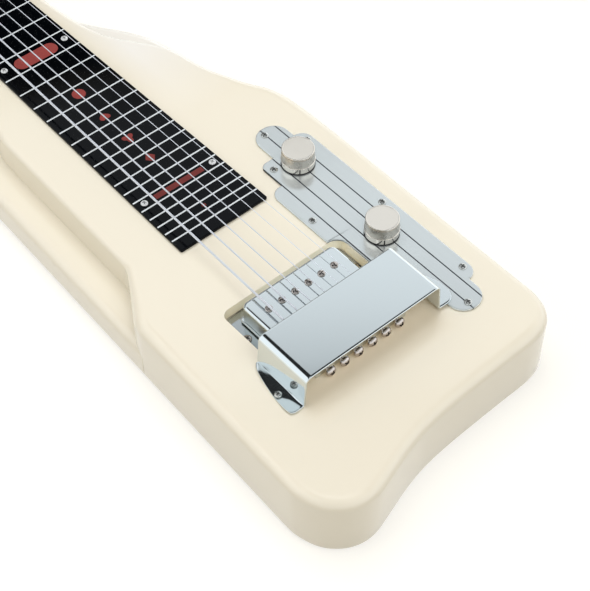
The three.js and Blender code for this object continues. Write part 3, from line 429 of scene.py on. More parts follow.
def shaded(mesh, sharp):
    """Smooth, but for edges over the sharp angle and for flat ends, which alone have over four corners."""
    mesh.set_sharp_from_angle(angle=math.radians(sharp))
    corners = np.zeros(len(mesh.polygons), np.int32)
    mesh.polygons.foreach_get("loop_total", corners)
    mesh.polygons.foreach_set("use_smooth", corners < 5)
    mesh.update()


def slab_mesh(name, *shape, **turned):
    shell = Shell()
    shell.slab(*shape, **turned)
    return shell.mesh(name)


def cut(mesh, cutters, sharp=SHARP):
    """The mesh with each shell of the list taken away from it."""
    piece = bpy.data.objects.new("being_cut", mesh)
    bpy.context.scene.collection.objects.link(piece)
    spent = [piece]
    for i, shell in enumerate(cutters):
        tool = bpy.data.objects.new("cutter", shell.mesh("cutter"))
        bpy.context.scene.collection.objects.link(tool)
        spent.append(tool)
        step = piece.modifiers.new("cut %d" % i, "BOOLEAN")
        step.operation = "DIFFERENCE"
        step.solver = "EXACT"
        step.object = tool
    graph = bpy.context.evaluated_depsgraph_get()
    made = bpy.data.meshes.new_from_object(piece.evaluated_get(graph))
    for used in spent:
        bpy.data.objects.remove(used)
    made.name = mesh.name
    shaded(made, sharp)
    return made


def show(name, mesh, names, nodes=(), body="guitar"):
    """Puts a mesh in the scene with the named finishes, riding on a body in place of its CAD nodes."""
    piece = bpy.data.objects.new(name, mesh)
    bpy.context.scene.collection.objects.link(piece)
    mesh.materials.clear()
    for finish in names:
        mesh.materials.append(finishes[finish])
    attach(piece, body)
    if nodes:
        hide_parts(*nodes)


def show_screws(name, head, places, finish, nodes=(), axis="z"):
    """Like screw heads at several places, as one piece."""
    screws = Shell()
    screws.copies(head, places, axis)
    show(name, screws.mesh(name, TURNED_SHARP), [finish], nodes)


# Finishes


# Painted sheen: the paler colour mixed into the lacquer of the far treble shoulder.
PAINTED_SHOULDER_SHEEN = (0.95, 0.92, 0.86)
COVER_GLOW = (0.13, 0.085, 0.035)
POCKET_GLOW = (0.25, 0.21, 0.11)
NECK_WALL_GLOW = (0.42, 0.4, 0.3)
DUST_COLOR = linear(90, 92, 92)
GROOVE_COLOR = linear(34, 38, 44)
WIRE_COLOR = linear(238, 242, 250)
KNURLS = 96.0  # round a knob
WRAP_PITCH = 0.32


class Amount:
    """A number or vector in a material; sums on it add Math nodes."""

    def __init__(self, finish, socket):
        self.finish = finish
        self.socket = socket

    def __add__(self, other):
        return self.finish.math("ADD", self, other)

    def __sub__(self, other):
        return self.finish.math("SUBTRACT", self, other)

    def __rsub__(self, other):
        return self.finish.math("SUBTRACT", other, self)

    def __mul__(self, other):
        return self.finish.math("MULTIPLY", self, other)

    def __lt__(self, other):
        return self.finish.math("LESS_THAN", self, other)

    def __gt__(self, other):
        return self.finish.math("GREATER_THAN", self, other)

    __radd__ = __add__
    __rmul__ = __mul__


class Shading:
    """A node tree, and short ways to add nodes to it."""

    def __init__(self, tree):
        self.tree = tree

    def feed(self, socket, value):
        """Links an amount to a socket, or sets the socket to a plain value."""
        if isinstance(value, Amount):
            self.tree.links.new(value.socket, socket)
        elif socket.type == "RGBA":
            socket.default_value = (*value, 1.0)
        else:
            socket.default_value = value

    def node(self, kind, settings=None, inputs=None, output=0):
        """Adds one node: its settings and a ramp's stops first, then its sockets by name or number."""
        node = self.tree.nodes.new(kind)
        for key, value in (settings or {}).items():
            if key == "stops":
                stops = node.color_ramp.elements
                while len(stops) < len(value):
                    stops.new(1.0)
                for stop, (place, level) in zip(stops, value):
                    stop.position = place
                    stop.color = (level, level, level, 1.0)
            else:
                setattr(node, key, value)
        for key, value in (inputs or {}).items():
            self.feed(node.inputs[key], value)
        return Amount(self, node.outputs[output])

    def math(self, operation, *amounts):
        return self.node("ShaderNodeMath", {"operation": operation}, dict(enumerate(amounts)))

    def mixed(self, share, low, high):
        """The colour low where share is 0, high where it is 1."""
        return self.node(
            "ShaderNodeMix", {"data_type": "RGBA", "clamp_factor": True}, {0: share, 6: low, 7: high}, 2
        )

    def step(self, amount, start, end):
        """Goes from 0 at start to 1 at end."""
        return self.node("ShaderNodeMapRange", inputs={0: amount, 1: start, 2: end})

    def axes(self, vector):
        """A vector's three parts."""
        node = self.node("ShaderNodeSeparateXYZ", inputs={0: vector}).socket.node
        return [Amount(self, output) for output in node.outputs]


class Finish(Shading):
    """One material, with its shader and the nodes that vary it over a surface."""

    def __init__(self, name, color, roughness, metallic=0.0, **constants):
        self.material = bpy.data.materials.new(name)
        self.material.use_nodes = True
        super().__init__(self.material.node_tree)
        self.shader = self.tree.nodes["Principled BSDF"]
        self.color = color
        values = {"Base Color": color, "Roughness": roughness, "Metallic": metallic}
        for key, value in constants.items():
            values[key.replace("_", " ").title().replace("Ior", "IOR")] = value
        for key, value in values.items():
            self.drive(key, value)

    def drive(self, socket, amount):
        self.feed(self.shader.inputs[socket], amount)

    def place(self):
        """Object coordinates, in metres."""
        return self.node("ShaderNodeTexCoord", output=3)

    def marks(self):
        """What a mesh says of its points: a turn's cosine, sine and height, a length along a string, or a
        place in a screw head."""
        return self.node("ShaderNodeAttribute", {"attribute_name": "marks"}, output=1)

    def noise(self, scale, detail=2.0, vector=None):
        vector = vector or self.place()
        return self.node("ShaderNodeTexNoise", inputs={"Vector": vector, "Scale": scale, "Detail": detail})

    def stretched(self, x, y, z):
        """Object coordinates stretched along the axes, for brushed and drawn surfaces."""
        return self.node("ShaderNodeMapping", inputs={"Vector": self.place(), "Scale": (x, y, z)})

    def bump(self, height, distance, strength=1.0):
        """Raises the surface by height times distance, in metres."""
        values = {"Height": height, "Distance": distance, "Strength": strength}
        self.drive("Normal", self.node("ShaderNodeBump", inputs=values))

    def mottled(self, amount, low, high):
        """The finish's own colour times low where the amount is 0, times high where it is 1."""
        return self.mixed(amount, tint(self.color, low), tint(self.color, high))

    def polished(self, least, dulled):
        """Roughness of polished plate: haze, hairline wiping marks and a dulled share. Gives the haze."""
        haze = self.noise(35.0, 3.0)
        hair = self.noise(1.0, 2.0, self.stretched(120.0, 2600.0, 900.0))
        self.drive("Roughness", least + 0.05 * haze + 0.03 * hair + dulled)
        return haze


def tint(color, share):
    return tuple(value * share for value in color)


def lacquer(color):
    """Thick gloss lacquer: faint clouding, a painted sheen that pales the far treble shoulder, a slow ripple
    and a fine skin.
    """
    finish = Finish("cream_lacquer", color, 0.32, coat_weight=1.0, coat_roughness=0.05)
    clouds = finish.noise(9.0, 3.0)
    x, y, z = finish.axes(finish.place())
    # Painted highlight: the far treble shoulder is mixed towards a paler colour, for the studio light's sheen
    # on it.
    painted_sheen = finish.step(y, 0.03, 0.05) * finish.step(x, -0.19, -0.26)
    finish.drive("Base Color", finish.mixed(painted_sheen, finish.mottled(clouds, 0.985, 1.012), PAINTED_SHOULDER_SHEEN))
    finish.drive("Roughness", 0.28 + 0.08 * finish.noise(40.0, 2.0))
    finish.bump(finish.noise(55.0, 2.0) + 0.12 * finish.noise(700.0, 1.0), 0.00012, 0.5)
    # Light that the chrome round them throws on the pocket's walls and under the bridge cover.
    beside = finish.step(finish.math("ABSOLUTE", y), 0.056, 0.044) * finish.step(x, -0.07, -0.05)
    pocket = (z < 0.0438) * (z > 0.0367) * (x < -0.01)
    under = finish.step(x, -0.012, -0.008) * finish.step(x, 0.04, 0.018) * (z > 0.043)
    neck_wall = finish.step(x, -0.0515, -0.0545) * finish.step(y, -0.04, -0.01)
    glow = finish.mixed(beside * under, (0.0, 0.0, 0.0), COVER_GLOW)
    glow = finish.mixed(beside * pocket, glow, POCKET_GLOW)
    glow = finish.mixed(beside * pocket * neck_wall, glow, NECK_WALL_GLOW)
    finish.drive("Emission Color", glow)
    finish.drive("Emission Strength", 1.0)
    return finish.material


def black_panel(color):
    """Gloss black plastic, with faint wiping marks along it and a few specks of dust."""
    finish = Finish("board_panel", color, 0.05, specular_ior_level=0.1)
    wiped = finish.noise(1.0, 3.0, finish.stretched(60.0, 900.0, 200.0))
    specks = finish.noise(1600.0, 0.0) > 0.79
    finish.drive("Base Color", finish.mixed(specks * 0.25, color, DUST_COLOR))
    finish.drive("Roughness", 0.03 + 0.06 * wiped + 0.3 * specks)
    finish.bump(finish.noise(14.0, 1.0), 0.0006, 0.5)
    return finish.material


def printed_line(color):
    """Pale print: a little unevenness in its cover and a fine grain."""
    finish = Finish("fret_print", color, 0.4)
    patches = finish.noise(420.0, 2.0)
    finish.drive("Base Color", finish.mottled(patches, 0.9, 1.05))
    finish.bump(patches, 0.00001, 0.4)
    return finish.material


def figure_red(color):
    """Muted red print, mottled where the ink lies thinner and worn darker towards the pickup."""
    finish = Finish("figure_print", color, 0.38, specular_ior_level=0.35)
    thin = finish.noise(650.0, 3.0)
    x, _, _ = finish.axes(finish.place())
    worn = finish.step(x, -0.24, -0.12) * 0.75
    finish.drive("Base Color", finish.mixed(worn, finish.mottled(thin, 0.72, 1.25), tint(color, 0.25)))
    return finish.material


def chrome(name, color, side=1.0):
    """Polished plate over steel: near mirror, and satin further than side from the centreline."""
    finish = Finish(name, color, 0.05, 1.0)
    _, y, _ = finish.axes(finish.place())
    haze = finish.polished(0.035, 0.22 * (finish.math("ABSOLUTE", y) > side))
    finish.drive("Base Color", finish.mottled(haze, 0.97, 1.0))
    return finish.material


def engraved_chrome(color, lines, half_width):
    """The control plate's chrome, with fine filled grooves along it at distances from the centreline."""
    finish = Finish("engraved_chrome", color, 0.2, 0.7)
    _, y, _ = finish.axes(finish.place())
    groove = 0.0
    for line in lines:
        groove = groove + (finish.math("ABSOLUTE", y - line) < half_width)
    finish.polished(0.17, 0.2 * groove)
    finish.drive("Base Color", finish.mixed(groove, color, GROOVE_COLOR))
    finish.drive("Metallic", 0.7 - 0.6 * groove)
    finish.bump(1.0 - groove, 0.0001, 0.6)
    return finish.material


def knob_nickel(color):
    """Warm nickel: knurled lines round a darker barrel, and small dull patches all over."""
    finish = Finish("knob_nickel", color, 0.2, 1.0)
    cosine, sine, height = finish.axes(finish.marks())
    ribs = finish.math("SINE", finish.math("ARCTAN2", sine, cosine) * KNURLS)
    barrel = (height > 4.7) * (height < 10.8)
    dull = finish.noise(300.0, 3.0)
    finish.drive("Roughness", 0.08 + 0.1 * dull + 0.15 * barrel)
    plain = finish.mottled(dull, 0.93, 1.03)
    finish.drive("Base Color", finish.mixed(barrel * 0.7, plain, tint(color, 0.62)))
    finish.bump(ribs * barrel * 0.3 + dull * 0.1, 0.00008, 0.6)
    return finish.material


def small_nickel(name, color, roughness, metallic=1.0):
    """Nickel of small turned parts, duller and browner in patches, with painted shade in a screw's hollow."""
    finish = Finish(name, color, roughness, metallic)
    x, y, height = finish.axes(finish.marks())
    # Painted shade: the cross or slot of a screw head is darkened, and made rougher, where shade falls in it.
    painted_hollow_shade = (height > 0.1) * (height < 0.72) * (x * x + y * y < 0.4)
    dull = finish.noise(900.0, 3.0)
    plain = finish.mottled(dull, 0.72, 1.05)
    finish.drive("Base Color", finish.mixed(painted_hollow_shade, plain, tint(color, 0.34)))
    finish.drive("Roughness", roughness * 0.7 + roughness * 0.8 * dull + 0.3 * painted_hollow_shade)
    finish.bump(dull, 0.00002, 0.3)
    return finish.material


def drawn_wire(color):
    """Plain steel string, drawn bright along its length."""
    finish = Finish("plain_wire", color, 0.3, 0.5)
    drawn = finish.noise(1.0, 2.0, finish.stretched(30.0, 4000.0, 4000.0))
    finish.drive("Roughness", 0.28 + 0.12 * drawn)
    finish.drive("Base Color", finish.mottled(drawn, 0.85, 1.0))
    return finish.material


def wound_wire(color, pitch):
    """Wound string: round wraps one pitch apart along it, with painted shade between the wraps."""
    finish = Finish("wound_wire", color, 0.38, 0.5)
    length, _, _ = finish.axes(finish.marks())
    wrap = finish.math("SINE", length * (2 * math.pi / pitch)) * 0.5 + 0.5
    # Painted shade: the colour darkens in the creases between the wraps.
    finish.drive("Base Color", finish.mottled(wrap, 0.75, 1.0))
    finish.bump(wrap, 0.00006, 0.8)
    return finish.material


def moulded(name, color, roughness):
    """Moulded plastic with a soft unevenness in its gloss."""
    finish = Finish(name, color, roughness)
    cloud = finish.noise(160.0, 3.0)
    finish.drive("Base Color", finish.mottled(cloud, 0.96, 1.02))
    finish.drive("Roughness", roughness + 0.1 * cloud)
    finish.bump(cloud, 0.00002, 0.3)
    return finish.material


def pressed_metal(name, color, roughness, metallic=1.0):
    """Plain pressed or cast metal: mottled, with a grain that breaks up its shine."""
    finish = Finish(name, color, roughness, metallic)
    grain = finish.noise(520.0, 4.0)
    finish.drive("Base Color", finish.mottled(grain, 0.8, 1.06))
    finish.drive("Roughness", roughness * 0.8 + 0.2 * grain)
    finish.bump(grain, 0.00004, 0.5)
    return finish.material


def enamelled_winding(color):
    """Fine enamelled wire, wound along the coil, seen as close ridges with painted shade between the turns.
    """
    finish = Finish("coil_winding", color, 0.35)
    _, _, z = finish.axes(finish.place())
    wires = finish.math("SINE", z * 16000.0) * 0.5 + 0.5
    # Painted light and shade: half the colour between the turns, 1.4 times it on them.
    finish.drive("Base Color", finish.mottled(wires, 0.5, 1.4))
    finish.bump(wires, 0.00005, 0.6)
    return finish.material


finishes = {}


def make_finishes(chosen):
    """Every material of the guitar, by the name that its pieces ask for."""
    plate = chosen.chrome
    finishes.update(
        lacquer=lacquer(chosen.lacquer),
        board=black_panel(chosen.board),
        line=printed_line(chosen.fret_lines),
        figure=figure_red(chosen.figures),
        chrome=chrome("polished_chrome", plate),
        pickup=chrome("pickup_chrome", plate, 0.0336),
        # Painted shade: the mounting plate's chrome is darkened to two thirds for its place deep in the
        # pocket.
        dull=chrome("shaded_mounting_chrome", tint(plate, 0.66)),
        engraved=engraved_chrome(tint(plate, 1.06), ENGRAVED_LINES, sizes().groove_width / 2),
        knob=knob_nickel(chosen.knobs),
        screw=small_nickel("screw_nickel", chosen.screws, 0.16),
        plated=small_nickel("tuner_nickel", linear(204, 204, 199), 0.16),
        saddle=small_nickel("saddle_nickel", linear(222, 219, 212), 0.2),
        bright_screw=small_nickel("board_screw_nickel", linear(246, 247, 248), 0.3, 0.35),
        wire=drawn_wire(WIRE_COLOR),
        wound=wound_wire(WIRE_COLOR, WRAP_PITCH),
        nut=moulded("nut_white", linear(232, 228, 216), 0.35),
        button=moulded("button_cream", linear(236, 227, 204), 0.22),
        capacitor=moulded("capacitor_brown", linear(138, 74, 42), 0.3),
        # Black of the knobs' pointer lines, also used for the dark ring of painted shade under each knob.
        recess=moulded("pointer_and_shade_black", linear(24, 22, 22), 0.5),
        pot=pressed_metal("pot_steel", linear(186, 188, 190), 0.3),
        brass=pressed_metal("shaft_brass", linear(196, 166, 96), 0.3),
        magnet=pressed_metal("magnet_grey", linear(92, 94, 96), 0.55, 0.4),
        coil=enamelled_winding(linear(52, 34, 24)),
    )


# Body


def body_points(shares):
    return np.array([(x * SCALE_LENGTH, y * HALF_WIDTH) for x, y, *_ in shares])


def tail_curve():
    """The tail end from the bass side to the treble side, led in and out along the straight sides."""
    side_end = body_points([BASS_SIDE_END])[0]
    step = body_points([BASS_STEP[-1]])[0]
    points = np.concatenate([[side_end], body_points(TAIL)])
    lead_in = side_end + unit(step - side_end) * np.linalg.norm(points[1] - side_end)
    lead_out = points[-1] - (np.linalg.norm(points[-1] - points[-2]), 0)
    curve = smooth_curve(np.concatenate([[lead_in], points, [lead_out]]), 17 * 16)
    return curve[16:-16]


def upper_outline():
    """Plan of the full-height block: neck, bass step, tail and treble side."""
    bass_curve = smooth_curve(body_points(BASS_TOP), 160)
    steps = [(x * SCALE_LENGTH, y * HALF_WIDTH, cut) for x, y, cut in BASS_STEP]
    ends = [(*bass_curve[-1], 0), *steps, (*body_points([BASS_SIDE_END])[0], 0)]
    step_path = rounded_path([(x, y, 4 * radius) for x, y, radius in ends], closed=False, steps=8)
    treble = smooth_curve(body_points(TREBLE_TOP), 320)[::-1]
    outline = np.concatenate([bass_curve[:-1], step_path[:-1], tail_curve(), treble])
    return spaced(outline, 1.5, closed=True)


def wing(shell, shares, inner, end):
    """One low wing: its outer curve, closed inside the full-height block, where its rim stays sharp. Its end
    and its back stand a hair inside the block's, so that no two faces lie in one plane."""
    outer = smooth_curve(body_points(shares), 260)
    if end:
        outer = np.concatenate([outer, body_points(end)])
    outer = spaced(outer, 1.5)
    closing = np.array([(outer[-1, 0] + 8, inner), (outer[0, 0], inner)])
    outline = np.concatenate([outer, closing])
    outline[:, 0] = np.maximum(outline[:, 0], NUT_FACE + 8 * HAIR)
    rounding = eased(outline[:, 0], NUT_FACE, NUT_FACE + 14)
    rounding[-2:] = 0
    if outline[0, 1] > 0:
        outline, rounding = outline[::-1], rounding[::-1]
    shell.slab(outline, HAIR, WING_TOP, BACK_ROUNDING * rounding, 6.0 * rounding, 8, 0.8)


def head_outline():
    half = smooth_curve([(NUT_BACK - x * HEAD_LENGTH, y * NECK_HALF) for x, y in HEAD], 120)
    root = np.array([(NUT_FACE + 5, HEAD[0][1] * NECK_HALF)])
    half = np.concatenate([root, half])
    outline = spaced(np.concatenate([half, half[::-1] * (1, -1)]), 1.2, closed=True)
    # Each pass moves a point towards the mean of its neighbours, which rounds the corners.
    for _ in range(HEAD_SOFTENING):
        outline = (np.roll(outline, 1, 0) + 2 * outline + np.roll(outline, -1, 0)) / 4
    return outline


def eased(value, start, end):
    """Goes smoothly from 0 at start to 1 at end: t * t * (3 - 2 * t)."""
    t = np.clip((value - start) / (end - start), 0, 1)
    return t * t * (3 - 2 * t)


def top_rounding(outline, full):
    """The rim's radius: full round the outside, tighter on the wall over each low wing and at the nut."""
    x, y = outline.T
    bass = 3.6 + (full - 3.6) * eased(x, -120, -78)
    treble = 4.2 + (full - 4.2) * eased(x, -210, -185)
    radius = np.where(y < 0, bass, treble)
    return np.minimum(radius, 1.0 + 2.6 * eased(x, NUT_FACE, NUT_FACE + 6) + full * eased(x, -520, -480))


def post_places():
    """Each string's post: the outer strings go to the posts nearest the nut."""
    places = {}
    for row, radius in enumerate(STRING_RADII):
        offset = row - MIDDLE_ROW
        place = round(MIDDLE_ROW - abs(offset))
        x = NUT_BACK - FIRST_POST - place * POST_PITCH
        places[6 - row] = (x, math.copysign(POST_LINE, offset), radius, offset)
    return places


def prism(outline, bottom, top):
    shell = Shell()
    shell.slab(outline, bottom, top)
    return shell


def joined(*shells):
    """Cutters that don't touch each other, as one."""
    whole = Shell()
    for shell in shells:
        whole.add(np.concatenate(shell.points), shell.faces, marks=np.concatenate(shell.marks))
    return whole


def body_cutters():
    neck, tail, half = ROUT
    strings = [
        (STRING_DROP, (row - MIDDLE_ROW) * SADDLE_PITCH, radius) for row, radius in enumerate(STRING_RADII)
    ]
    pocket = prism(rectangle(neck, tail, -half, half, ROUT_CORNER, 8), POCKET_FLOOR, CLEAR)
    cavity = prism(rectangle(*CAVITY, 8, 8), CAVITY_FLOOR, CLEAR)
    bores = [prism(ring(radius + 0.6, 16, (x, y)), BELOW, CLEAR) for x, y, radius in strings]
    pit = prism(rectangle(neck, tail, -half + 9.5, half - 9.5, 4, 6), PIT_FLOOR, BODY_TOP)
    balls = [prism(ring(BALL_RADIUS + GAP, 24, (x, y)), BELOW, BALL_LEVEL + 2.3) for x, y, _ in strings]
    jack = Shell()
    jack.turned([(0, 76), (10.5, 76), (10.5, 104), (0, 104)], "y", (JACK_X, 0, JACK_LEVEL), 40)
    channel = Shell()
    channel.turned([(0, 32), (4, 32), (4, 54), (0, 54)], "y", (POLE_X, 0, 32), 24)
    return [joined(pocket, cavity, *bores), joined(pit, jack, *balls), channel]


def body_mesh(full_rounding):
    upper = Shell()
    outline = counter_clockwise(upper_outline())
    radius = top_rounding(outline, full_rounding)
    upper.slab(outline, 0, BODY_TOP, BACK_ROUNDING, radius, 10, 0.8)
    cut_upper = cut(upper.mesh("body_block"), body_cutters())
    rest = Shell()
    rest.copies(cut_upper, [(0, 0, 0)], first_turn=0.0)
    wing(rest, BASS_WING, -12, [BASS_STEP[-1]])
    wing(rest, TREBLE_WING, 12, None)
    block = rectangle(NUT_BACK - 1.6, NUT_FACE + 5, -28.2, 28.2, 2.2)
    rest.slab(block, HEAD_BOTTOM + HAIR, BODY_TOP - HAIR, 0.5, 1.2, 4, 0.4)
    cove = [
        (NUT_BACK - 1.0, HEAD_BOTTOM + 4, 0), (NUT_BACK - 1.0, BODY_TOP - 1.4, 0),
        (NUT_BACK - 3.0, BODY_TOP - 4, 3), (NUT_BACK - 6, HEAD_TOP + 1.5, 5),
        (NUT_BACK - 13, HEAD_TOP - 0.2, 0), (NUT_BACK - 13, HEAD_BOTTOM + 4, 0),
    ]
    profile = rounded_path(cove, True, 6)
    rest.slab(profile[:, ::-1], -26.5, 26.5, 1, 1, 3, 0, "y")
    head = Shell()
    head.slab(head_outline(), HEAD_BOTTOM, HEAD_TOP, 2, 2.5, 6, 0.6)
    posts = [place[:2] for place in post_places().values()]
    holes = [prism(ring(3.3, 24, post), HEAD_BOTTOM - 2, HEAD_TOP + 2) for post in posts]
    cut_head = cut(head.mesh("head_block"), [joined(*holes)])
    rest.copies(cut_head, [(0, 0, 0)], first_turn=0.0)
    return rest.mesh("body_shell")


# Board


def board_half(x):
    share = (np.asarray(x, float) - NUT_FACE) / (BOARD_END - NUT_FACE)
    return BOARD_HALF_NUT + (BOARD_HALF_TAIL - BOARD_HALF_NUT) * share


def board_panel_mesh():
    start = NUT_FACE + GAP
    near, far = float(board_half(BOARD_END)), float(board_half(start))
    ends = [(start, -far), (BOARD_END, -near), (BOARD_END, near), (start, far)]
    outline = rounded_path([(x, y, BOARD_CORNER) for x, y in ends], True, 4)
    return slab_mesh("board_panel", outline, BODY_TOP + GAP, BOARD_TOP, 0.1, 0.3, 3, 0.4)


def fret_line_mesh(width):
    """The 28 lines: line n stands at the scale length times 2 ** (-n / 12) from the saddles."""
    shell = Shell()
    half = width / 2
    for fret in range(1, LAST_FRET + 1):
        x = -SCALE_LENGTH * 2 ** (-fret / 12)
        reach = float(board_half(x)) - 0.25
        outline = rectangle(x - half, x + half, -reach, reach, half * 0.3, 2)
        shell.slab(outline, PRINT_LEVEL, PRINT_LEVEL + 0.25, 0, 0.125, 2, 0)
    return shell.mesh("fret_lines")


def heart_points():
    """Heart with its point towards the nut: across sin^3 a, and along it a sixteenth of
    13 cos a - 5 cos 2a - 2 cos 3a - cos 4a."""
    a = full_turn(48)
    along = (13 * np.cos(a) - 5 * np.cos(2 * a) - 2 * np.cos(3 * a) - np.cos(4 * a)) / 16
    return np.stack([along, np.sin(a) ** 3], -1)


def club_points():
    """Club: three round leaves, 0.78 + 0.24 cos 3a from the middle, as a plain clover."""
    a = full_turn(60)
    radius = 0.78 + 0.24 * np.cos(3 * a)
    return np.stack([radius * np.cos(a), radius * np.sin(a)], -1)


def figure_mesh():
    """The red position figures along the middle of the board."""
    bar = rectangle(-293.4 - 5.3, -293.4 + 5.3, -15.8, 15.8, 5.2, 8)
    dot = ring(4.4, 40, (-247.5, 0))
    heart = heart_points() * 3.7 + (-221, 0)
    club = club_points() * 4.2 + (-196.5, 0)
    diamond = rounded_path([(-179.4, 0, 0.3), (-175, -3.6, 0.3), (-170.6, 0, 0.3), (-175, 3.6, 0.3)])
    thin_bar = rectangle(-147.2 - 2.0, -147.2 + 2.0, -18, 18, 0.6, 4)
    small_dot = ring(1.5, 24, (-123.7, 0))
    outlines = [bar, dot, heart, club, diamond, thin_bar, small_dot]
    # The lower octave repeats the four figures nearest the bar.
    for x, figure in ((-349.9, diamond), (-392.8, club), (-440.9, heart), (-494.9, dot)):
        middle = (figure.min(axis=0) + figure.max(axis=0)) / 2
        outlines.append((figure - middle) * 1.15 + (x, 0))
    shell = Shell()
    for outline in outlines:
        shell.slab(outline, PRINT_LEVEL, PRINT_LEVEL + 0.24, 0, 0.08, 2, 0)
    return shell.mesh("position_figures")


# Screws


def screw_mesh(name, radius, height, recess, dome=0.55, skirt=0.9):
    """A screw head: a rim, a dome that falls as an arc to it, and a slot or a cross cut into it."""
    shell = Shell()
    edge = height * (1 - dome)
    a = np.linspace(0, math.pi / 2, 9)
    crown = np.stack([radius * np.sin(a), edge + (height - edge) * np.cos(a)], -1)
    base = [(radius, -0.02), (radius * 0.5, -skirt), (0, -skirt)]
    shell.turned(np.concatenate([crown, base]), sides=28)
    half = radius * (0.13 if recess == "slot" else 0.15)
    reach = radius * (1.2 if recess == "slot" else 0.56)
    depth = height * 0.45
    bars = [prism(rectangle(-reach, reach, -half, half, half * 0.2, 2), depth, height + 1)]
    if recess == "cross":
        bars.append(prism(rectangle(-half, half, -reach, reach, half * 0.2, 2), depth - 0.02, height + 1))
    mesh = shell.mesh(name)
    return cut(mesh, bars, TURNED_SHARP)


def board_screw_places():
    return [(-295, y, BOARD_TOP) for y in (-23.2, 23.2)] + [(-147.4, y, BOARD_TOP) for y in (-25.6, 25.6)]


CONTROL_SCREWS = [
    (-144.4, 64.1), (-118.8, 49.6), (-73.0, 40.1), (-57.3, 80.6), (9.0, 81.2), (29.4, 65.2), (-124.4, 81.2),
]


# Pickup


def pickup_cover_mesh():
    wide, long = PICKUP_HALF
    outline = rectangle(PICKUP_X - wide, PICKUP_X + wide, -long, long, 4.2, 10)
    outline = with_closed_stations(outline, 3.0)
    return slab_mesh("pickup_cover_shell", outline, 38.9, PICKUP_TOP, 0.2, 1.8, 8, 0.6)


def with_closed_stations(outline, spacing):
    return with_stations(np.concatenate([outline, outline[:1]]), spacing)[:-1]


def pickup_base_mesh():
    """The flat base plate, a little longer than the cover, with its two legs."""
    shell = Shell()
    half = PICKUP_HALF[0] - 0.4
    outline = rectangle(PICKUP_X - half, PICKUP_X + half, -35.2, 35.2, 1.8, 5)
    shell.slab(outline, 37.5, 38.6, 0.3, 0.35, 3, 0.3)
    for y in (-34.2 + 0.55, 34.2 - 0.55):
        bar = rectangle(PICKUP_X - 8, PICKUP_X + 8, y - 0.55, y + 0.55, 0.2, 2)
        shell.slab(bar, 36.8, 37.8, 0.1, 0.1, 2, 0)
    return shell.mesh("pickup_base")


def mounting_plate_mesh():
    neck, tail, half = ROUT
    inset = 0.8
    outline = rectangle(neck + inset, tail - inset, -half + inset, half - inset, ROUT_CORNER - inset, 8)
    return slab_mesh("mounting_plate", outline, PLATE_LEVEL - 1.5, PLATE_LEVEL, 0.2, 0.35, 3, 0.3)


# Bridge and its cover


FOOT_BASS = [(0, 0.2), (0.2, 0.55), (0.6, 0.9), (0.9, 1), (1, 0.8), (1, 0)]
FOOT_TREBLE = [(1, 0), (1, 0.6), (0.9, 0.95), (0.65, 1), (0.2, 0.5), (0, 0.2)]


def foot_edges(shares, out):
    """Neck and tail edges of a foot, that far out of its whole reach: where its curve crosses that line."""
    curve = smooth_curve(shares, 200)
    if curve[0, 0] > curve[-1, 0]:
        curve = curve[::-1]
    tip = int(np.argmax(curve[:, 1]))
    neck = np.interp(out, curve[: tip + 1, 1], curve[: tip + 1, 0], left=0.0)
    tail = np.interp(out, curve[tip:, 1][::-1], curve[tip:, 0][::-1], left=1.0)
    return neck, tail


